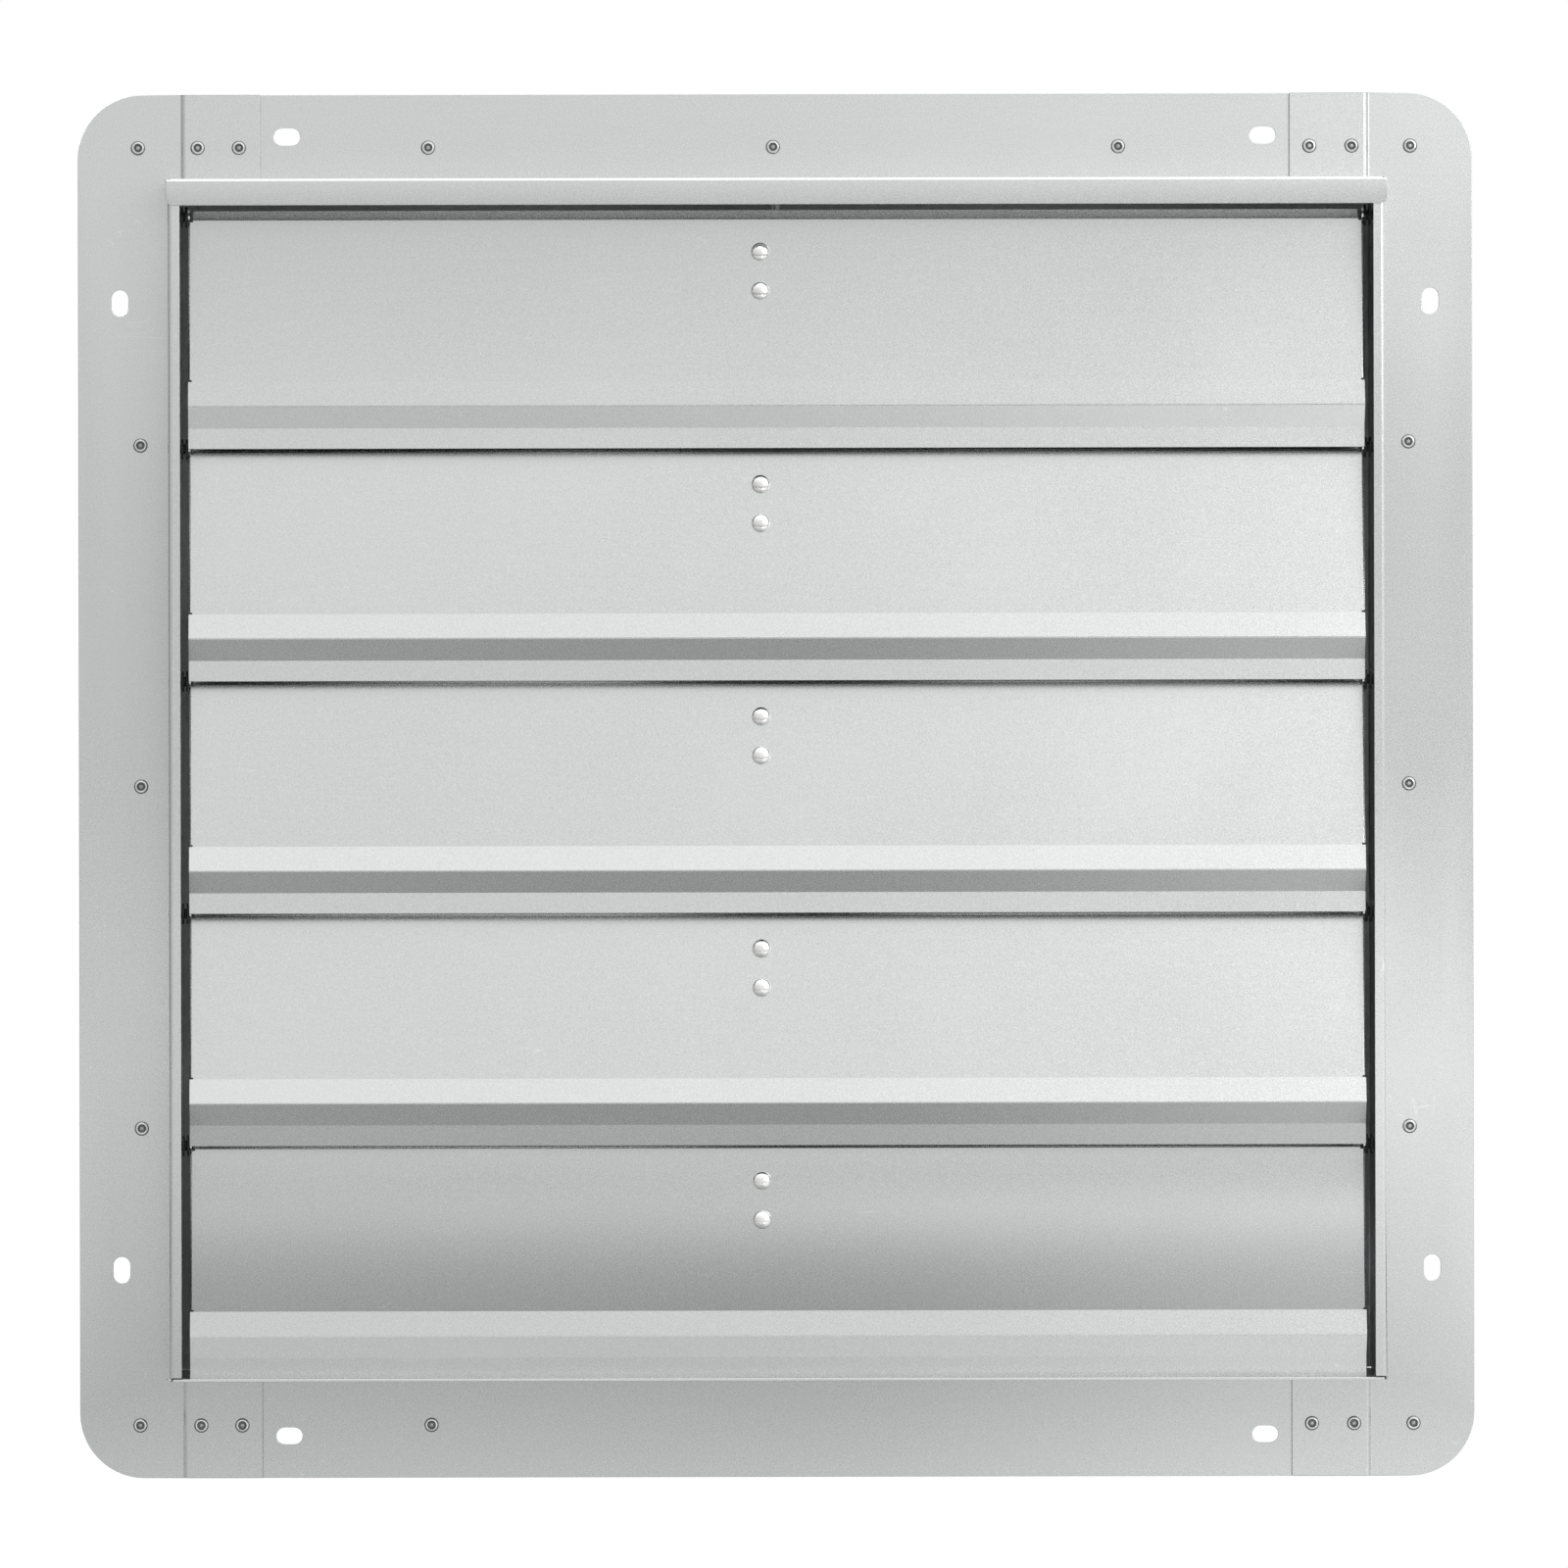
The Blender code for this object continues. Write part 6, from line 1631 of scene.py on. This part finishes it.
def guard_clip_shapes():
    """Four folded clips over the guard's rim, each held by a screw."""
    sheet, half, screw_circle = 0.0010, 0.0065, 0.2790
    low, high = PANEL_REAR + FIT + sheet / 2, GUARD_RIM_Y + GUARD_RIM_WIRE + sheet / 2 + FIT
    section = Section([(0.2540, high), (0.2672, high), (0.2690, low), (0.2860, low)], 0.0012, 4)
    last = section.marks[-1]
    outline = [(-half, 0.0), (half, 0.0), (half, last), (-half, last)]
    head = turned(PAN_HEAD, 28, 0.0003)
    clips, screws = [], []
    for number in range(4):
        ray, side = spoke(math.pi / 4 + number * math.pi / 2)
        axes = (side, ray, Y)
        clips.append(
            bent_sheet(section, axes, outline, sheet, (), 0.0002, 0.003, origin=MOTOR_AXIS)
        )
        spot = MOTOR_AXIS + screw_circle * ray + (low + sheet / 2) * Y
        screws.append(head.moved(placed(spot, Y)))
    return joined(clips), joined(screws)


def corner_box_piece(name, node, width):
    """Copy of a packed node: corners merged, flat faces joined, edges rounded by a bevel."""
    item = bpy.data.objects.new(name, frame["nodes"][node].data.copy())
    mesh = bmesh.new()
    mesh.from_mesh(item.data)
    bmesh.ops.remove_doubles(mesh, verts=mesh.verts, dist=0.00002)
    bmesh.ops.dissolve_limit(mesh, angle_limit=math.radians(1), verts=mesh.verts, edges=mesh.edges)
    mesh.to_mesh(item.data)
    mesh.free()
    bevel = item.modifiers.new("Edges", "BEVEL")
    bevel.width, bevel.segments, bevel.limit_method, bevel.angle_limit = (
        width, 3, "ANGLE", math.radians(40)
    )
    bevel.harden_normals = True
    item.data.shade_smooth()
    dressed(item, "plastic", "frame", [node])


def gland_shape():
    """Cable gland along +X: thread, hexagon nut and a cap nut with ribs, bored for the cable."""
    low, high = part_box("cable_gland")
    centre = np.array([0.0, (low.y + high.y) / 2, (low.z + high.z) / 2])
    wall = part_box("terminal_box")[1].x
    bore, near, mid, far = 0.0033, wall + FIT, wall + 0.0063, wall + 0.0066
    thread = turned(ring_closed([(bore, low.x), (bore, wall), (0.0050, wall), (0.0050, low.x)]), 32)
    hollow = ring_closed([(bore, near), (bore, mid), (0.0070, mid), (0.0070, near)])
    nut = turned(hollow, 72, 0.0003, 3, hexagon)
    ribs = lambda a: 1 + 0.03 * np.clip(np.cos(14 * a) * 3, -1, 1)
    corners = [
        (bore, far), (bore, high.x), (0.0046, high.x), (0.0060, high.x - 0.0022), (0.0060, far)
    ]
    cap = turned(ring_closed(corners), 112, 0.0005, 3, ribs)
    return joined([part.moved(placed(centre, X)) for part in (thread, nut, cap)])


def lid_screw_shapes():
    """Four small pan-head screws in the terminal lid."""
    low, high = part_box("terminal_lid")
    profile = [(0.0, -0.0004), (0.0022, -0.0004), (0.0022, 0.0006), (0.0016, 0.0013)]
    profile += [(0.0007, 0.0014), (0.0006, 0.0008), (0.0, 0.0008)]
    head, inset = turned(profile, 24, 0.0002), 0.0042
    spots = [
        (x, y) for x in (low.x + inset, high.x - inset) for y in (low.y + inset, high.y - inset)
    ]
    return joined([head.moved(placed((x, y, high.z), Z)) for x, y in spots])


# Operators


class FanOperator:
    """What the operators of this file share."""

    bl_options = {"REGISTER", "UNDO"}

    def execute(self, context):
        self.make(context.scene)
        return {"FINISHED"}


class SHUTTERFAN_OT_finishes(FanOperator, bpy.types.Operator):
    """Make the finishes of all pieces"""

    bl_idname = "shutterfan.finishes"
    bl_label = "Finishes"

    def make(self, scene):
        make_finishes(scene.fan_colours)


def add_sheets(word, upright, level, sizes):
    """Add the two side sheets and the top and bottom sheets of the frame or of the housing."""
    for name, shape, end in (
        ("left", upright, -1), ("right", upright, 1), ("top", level, 1), ("bottom", level, -1)
    ):
        add_piece(f"{word}_sheet_{name}", shape(end, sizes), word, "frame", [f"{word}_{name}"])


class SHUTTERFAN_OT_frame(FanOperator, bpy.types.Operator):
    """Fold the four frame pieces and set their pop rivets"""

    bl_idname = "shutterfan.frame"
    bl_label = "Frame"

    def make(self, scene):
        add_sheets("frame", frame_side_shape, frame_level_shape, scene.fan_sheets)
        heads, stubs = pop_rivet_shapes(scene.fan_fixings)
        add_piece("pop_rivets", heads, "pop")
        add_piece("pop_rivet_mandrels", stubs, "mandrel")


class SHUTTERFAN_OT_louvers(FanOperator, bpy.types.Operator):
    """Fold the five louvers"""

    bl_idname = "shutterfan.louvers"
    bl_label = "Louvers"

    def make(self, scene):
        for number, (hinge, leans) in enumerate(zip(HINGES, LOUVER_LEANS), start=1):
            body, shape = f"louver_{number}", louver_shape(scene.fan_sheets, leans)
            add_piece(
                f"louver_sheet_{number}", shape.moved(placed(hinge, Z, X)), "louver", body, [body]
            )


class SHUTTERFAN_OT_pivots(FanOperator, bpy.types.Operator):
    """Mould the ten nylon pivot pins"""

    bl_idname = "shutterfan.pivots"
    bl_label = "Pivot pins"

    def make(self, scene):
        pin = pivot_pin_shape(scene.fan_fixings)
        for number, hinge in enumerate(HINGES, start=1):
            pair = joined([pin.moved(placed(hinge, side * X)) for side in (-1, 1)])
            nodes = [f"pivot_pin_{number}_{side}" for side in ("left", "right")]
            add_piece(f"pivot_pins_{number}", pair, "nylon", f"louver_{number}", nodes)


class SHUTTERFAN_OT_links(FanOperator, bpy.types.Operator):
    """Make the link brackets, domed rivets, link pins and the tie bar"""

    bl_idname = "shutterfan.links"
    bl_label = "Louver links"

    def make(self, scene):
        bracket, pin = link_bracket_shape(scene.fan_sheets), link_pin_shape()
        rivets = joined([domed_rivet_shape(drop, scene.fan_fixings) for drop in RIVET_DROPS])
        for number, hinge in enumerate(HINGES, start=1):
            body, place = f"louver_{number}", placed(hinge, Z, X)
            nodes = [f"louver_rivet_{number}_{end}" for end in ("upper", "lower")]
            add_piece(f"louver_rivets_{number}", rivets.moved(place), "rivet", body, nodes)
            add_piece(
                f"bracket_sheet_{number}", bracket.moved(place), "zinc", body,
                [f"link_bracket_{number}"]
            )
            add_piece(
                f"link_pin_turned_{number}", pin.moved(place), "screw", body, [f"link_pin_{number}"]
            )
        add_piece("tie_bar_sheet", tie_bar_shape(), "zinc", "tie_bar", ["tie_bar"])


class SHUTTERFAN_OT_housing(FanOperator, bpy.types.Operator):
    """Fold the housing and draw the orifice panel"""

    bl_idname = "shutterfan.housing"
    bl_label = "Housing"

    def make(self, scene):
        add_sheets("housing", housing_side_shape, housing_level_shape, scene.fan_sheets)
        add_piece("orifice_sheet", orifice_shape(), "housing", "frame", ["orifice_panel"])


class SHUTTERFAN_OT_motor(FanOperator, bpy.types.Operator):
    """Make the straps, the motor and its terminal box"""

    bl_idname = "shutterfan.motor"
    bl_label = "Motor"

    def make(self, scene):
        for name, side in (("upper", 1), ("lower", -1)):
            strap = strap_shape(side, scene.fan_sheets)
            add_piece(f"strap_sheet_{name}", strap, "zinc", "frame", [f"motor_strap_{name}"])
        add_piece("strap_screws", strap_screw_shapes(), "screw")
        sizes = scene.fan_parts
        add_piece("motor_shell", motor_body_shape(sizes), "motor", "frame", ["motor_body"])
        add_piece(
            "motor_bell_front", front_bell_shape(sizes), "motor", "frame", ["motor_cap_front"]
        )
        add_piece("motor_bell_rear", rear_bell_shape(sizes), "motor", "frame", ["motor_cap_rear"])
        add_piece("motor_screws", motor_screw_shapes(scene.fan_sheets), "screw")
        corner_box_piece("terminal_case", "terminal_box", 0.0007)
        corner_box_piece("terminal_cover", "terminal_lid", 0.0006)
        add_piece("gland_nuts", gland_shape(), "nylon", "frame", ["cable_gland"])
        add_piece("lid_screws", lid_screw_shapes(), "screw")


class SHUTTERFAN_OT_fan(FanOperator, bpy.types.Operator):
    """Make the hub, the blades and their rivets"""

    bl_idname = "shutterfan.fan"
    bl_label = "Fan"

    def make(self, scene):
        add_piece("hub_and_arms", hub_shape(), "motor", "rotor", ["fan_hub"])
        for number in range(1, BLADES + 1):
            turn = 2 * math.pi * (number - 1) / BLADES
            blade = blade_shape(turn, scene.fan_parts)
            add_piece(f"blade_sheet_{number}", blade, "blade", "rotor", [f"fan_blade_{number}"])
            add_piece(f"blade_rivets_{number}", blade_rivets_shape(turn), "pop", "rotor")
        shaft = frame["nodes"]["fan_shaft"].data
        shaft.materials.clear()
        shaft.materials.append(FINISHES["shaft"])


class SHUTTERFAN_OT_guard(FanOperator, bpy.types.Operator):
    """Weld the wire guard and clip it to the panel"""

    bl_idname = "shutterfan.guard"
    bl_label = "Wire guard"

    def make(self, scene):
        add_piece("guard_wires", guard_shape(scene.fan_parts), "guard", "frame", ["wire_guard"])
        clips, screws = guard_clip_shapes()
        add_piece("guard_clips", clips, "zinc")
        add_piece("guard_clip_screws", screws, "screw")


PICTURE_MIDDLE = (0.00363, 0.00088)


def add_light(name, place, target, size, power):
    """Rectangular area light that the camera doesn't see, aimed at a point."""
    light = bpy.data.lights.new(name, "AREA")
    light.shape, light.size, light.size_y, light.energy = "RECTANGLE", *size, power
    item = bpy.data.objects.new(name, light)
    item.location = place
    item.rotation_euler = (Vector(target) - Vector(place)).to_track_quat("-Z", "Y").to_euler()
    item.visible_camera = False
    bpy.context.scene.collection.objects.link(item)


class SHUTTERFAN_OT_stage(FanOperator, bpy.types.Operator):
    """Set the floor, the lights and the camera"""

    bl_idname = "shutterfan.stage"
    bl_label = "Stage"

    def make(self, scene):
        settings = scene.fan_stage
        sides, reach, white = 96, 1.9, (1.0, 1.0, 1.0, 1.0)
        floor = np.column_stack(
            [circle((0.0, 0.0), reach, sides), np.full(sides, -settings.floor_drop)]
        )
        mesh = bpy.data.meshes.new("stage_floor")
        mesh.from_pydata(floor.tolist(), [], [list(range(sides))])
        mesh.materials.append(pale_floor())
        item = bpy.data.objects.new("stage_floor", mesh)
        scene.collection.objects.link(item)
        add_light("key", (1.5, -2.2, 1.0), (0.0, 0.0, 0.0), (1.4, 1.4), settings.key_power)
        add_light("top", (0.1, -0.9, 1.7), (0.0, 0.0, 0.1), (1.6, 0.8), settings.top_power)
        add_light("rear", (-1.3, 2.0, 1.2), (0.0, 0.1, 0.0), (1.4, 1.4), settings.rear_power)
        world = bpy.data.worlds.new("studio")
        scene.world = world
        world.use_nodes = True
        tree = Tree(world.node_tree)
        background = world.node_tree.nodes["Background"]
        direction = tree.node("ShaderNodeTexCoord").outputs["Generated"]
        across, depth, height = tree.node("ShaderNodeSeparateXYZ", {0: direction}).outputs
        ramp = tree.node("ShaderNodeValToRGB", {0: tree.spread(height, 0.0, 1.0, -1.0, 1.0)})
        shades = settings.low_sky, settings.level_sky, settings.high_sky, 1.0
        for place, shade in zip((0.30, 0.50, 0.66, 0.93), shades):
            stop = ramp.color_ramp.elements.new(place)
            stop.color = (shade, shade, shade, 1.0)
        ramp.color_ramp.elements[0].color = (settings.low_sky,) * 3 + (1.0,)
        sideways = tree.spread(across, 1 - settings.slant, 1 + settings.slant, -1.0, 1.0)
        behind = tree.spread(depth, 1.0, settings.rear_sky, -0.15, 0.25)
        behind = tree.math("MAXIMUM", behind, tree.spread(height, 0.0, 1.0, 0.35, 0.75))
        level = tree.times(ramp.outputs[0], tree.times(sideways, behind))
        seen = tree.node("ShaderNodeLightPath").outputs["Is Camera Ray"]
        shade = tree.mix(seen, tree.grey(level), white)
        world.node_tree.links.new(shade, background.inputs["Color"])
        strength = tree.spread(seen, settings.sky, 1.0)
        world.node_tree.links.new(strength, background.inputs["Strength"])
        camera = bpy.data.cameras.new("camera")
        camera.sensor_width = 36.0
        camera.lens = 36.0 * settings.camera_distance / settings.view_width
        camera.clip_end = 50.0
        item = bpy.data.objects.new("camera", camera)
        camera.shift_x = (PICTURE_MIDDLE[0] + settings.camera_left) / settings.view_width
        item.location = (-settings.camera_left, -settings.camera_distance, PICTURE_MIDDLE[1])
        item.rotation_euler = (math.pi / 2, settings.camera_roll, 0.0)
        scene.collection.objects.link(item)
        scene.camera = item
        scene.view_settings.view_transform = "Standard"


class SHUTTERFAN_PT_panel(bpy.types.Panel):
    """Operators and settings of the fan"""

    bl_idname = "SHUTTERFAN_PT_panel"
    bl_label = "Shutter fan"
    bl_space_type = "VIEW_3D"
    bl_region_type = "UI"
    bl_category = "Shutter Fan"

    def draw(self, context):
        for operator in OPERATORS:
            self.layout.operator(operator.bl_idname)
        for group in GROUPS:
            box = self.layout.box()
            box.label(text=group)
            for key in getattr(context.scene, group).__annotations__:
                box.prop(getattr(context.scene, group), key)


GROUPS = {
    "fan_sheets": SheetSizes,
    "fan_fixings": FixingSizes,
    "fan_parts": FanSizes,
    "fan_colours": FinishColours,
    "fan_stage": StageSettings,
}
OPERATORS = (
    SHUTTERFAN_OT_finishes,
    SHUTTERFAN_OT_frame,
    SHUTTERFAN_OT_louvers,
    SHUTTERFAN_OT_pivots,
    SHUTTERFAN_OT_links,
    SHUTTERFAN_OT_housing,
    SHUTTERFAN_OT_motor,
    SHUTTERFAN_OT_fan,
    SHUTTERFAN_OT_guard,
    SHUTTERFAN_OT_stage,
)


def register():
    """Register the settings, the operators and the panel."""
    for item in (*GROUPS.values(), *OPERATORS, SHUTTERFAN_PT_panel):
        bpy.utils.register_class(item)
    for name, group in GROUPS.items():
        setattr(bpy.types.Scene, name, PointerProperty(type=group))


def unregister():
    """Take the settings, the operators and the panel away."""
    for name in GROUPS:
        delattr(bpy.types.Scene, name)
    for item in (SHUTTERFAN_PT_panel, *reversed(OPERATORS), *GROUPS.values()):
        bpy.utils.unregister_class(item)


def main():
    """Build every piece in order and write the two boxes."""
    register()
    for operator in OPERATORS:
        group, name = operator.bl_idname.split(".")
        getattr(getattr(bpy.ops, group), name)()


if __name__ == "__main__":
    main()
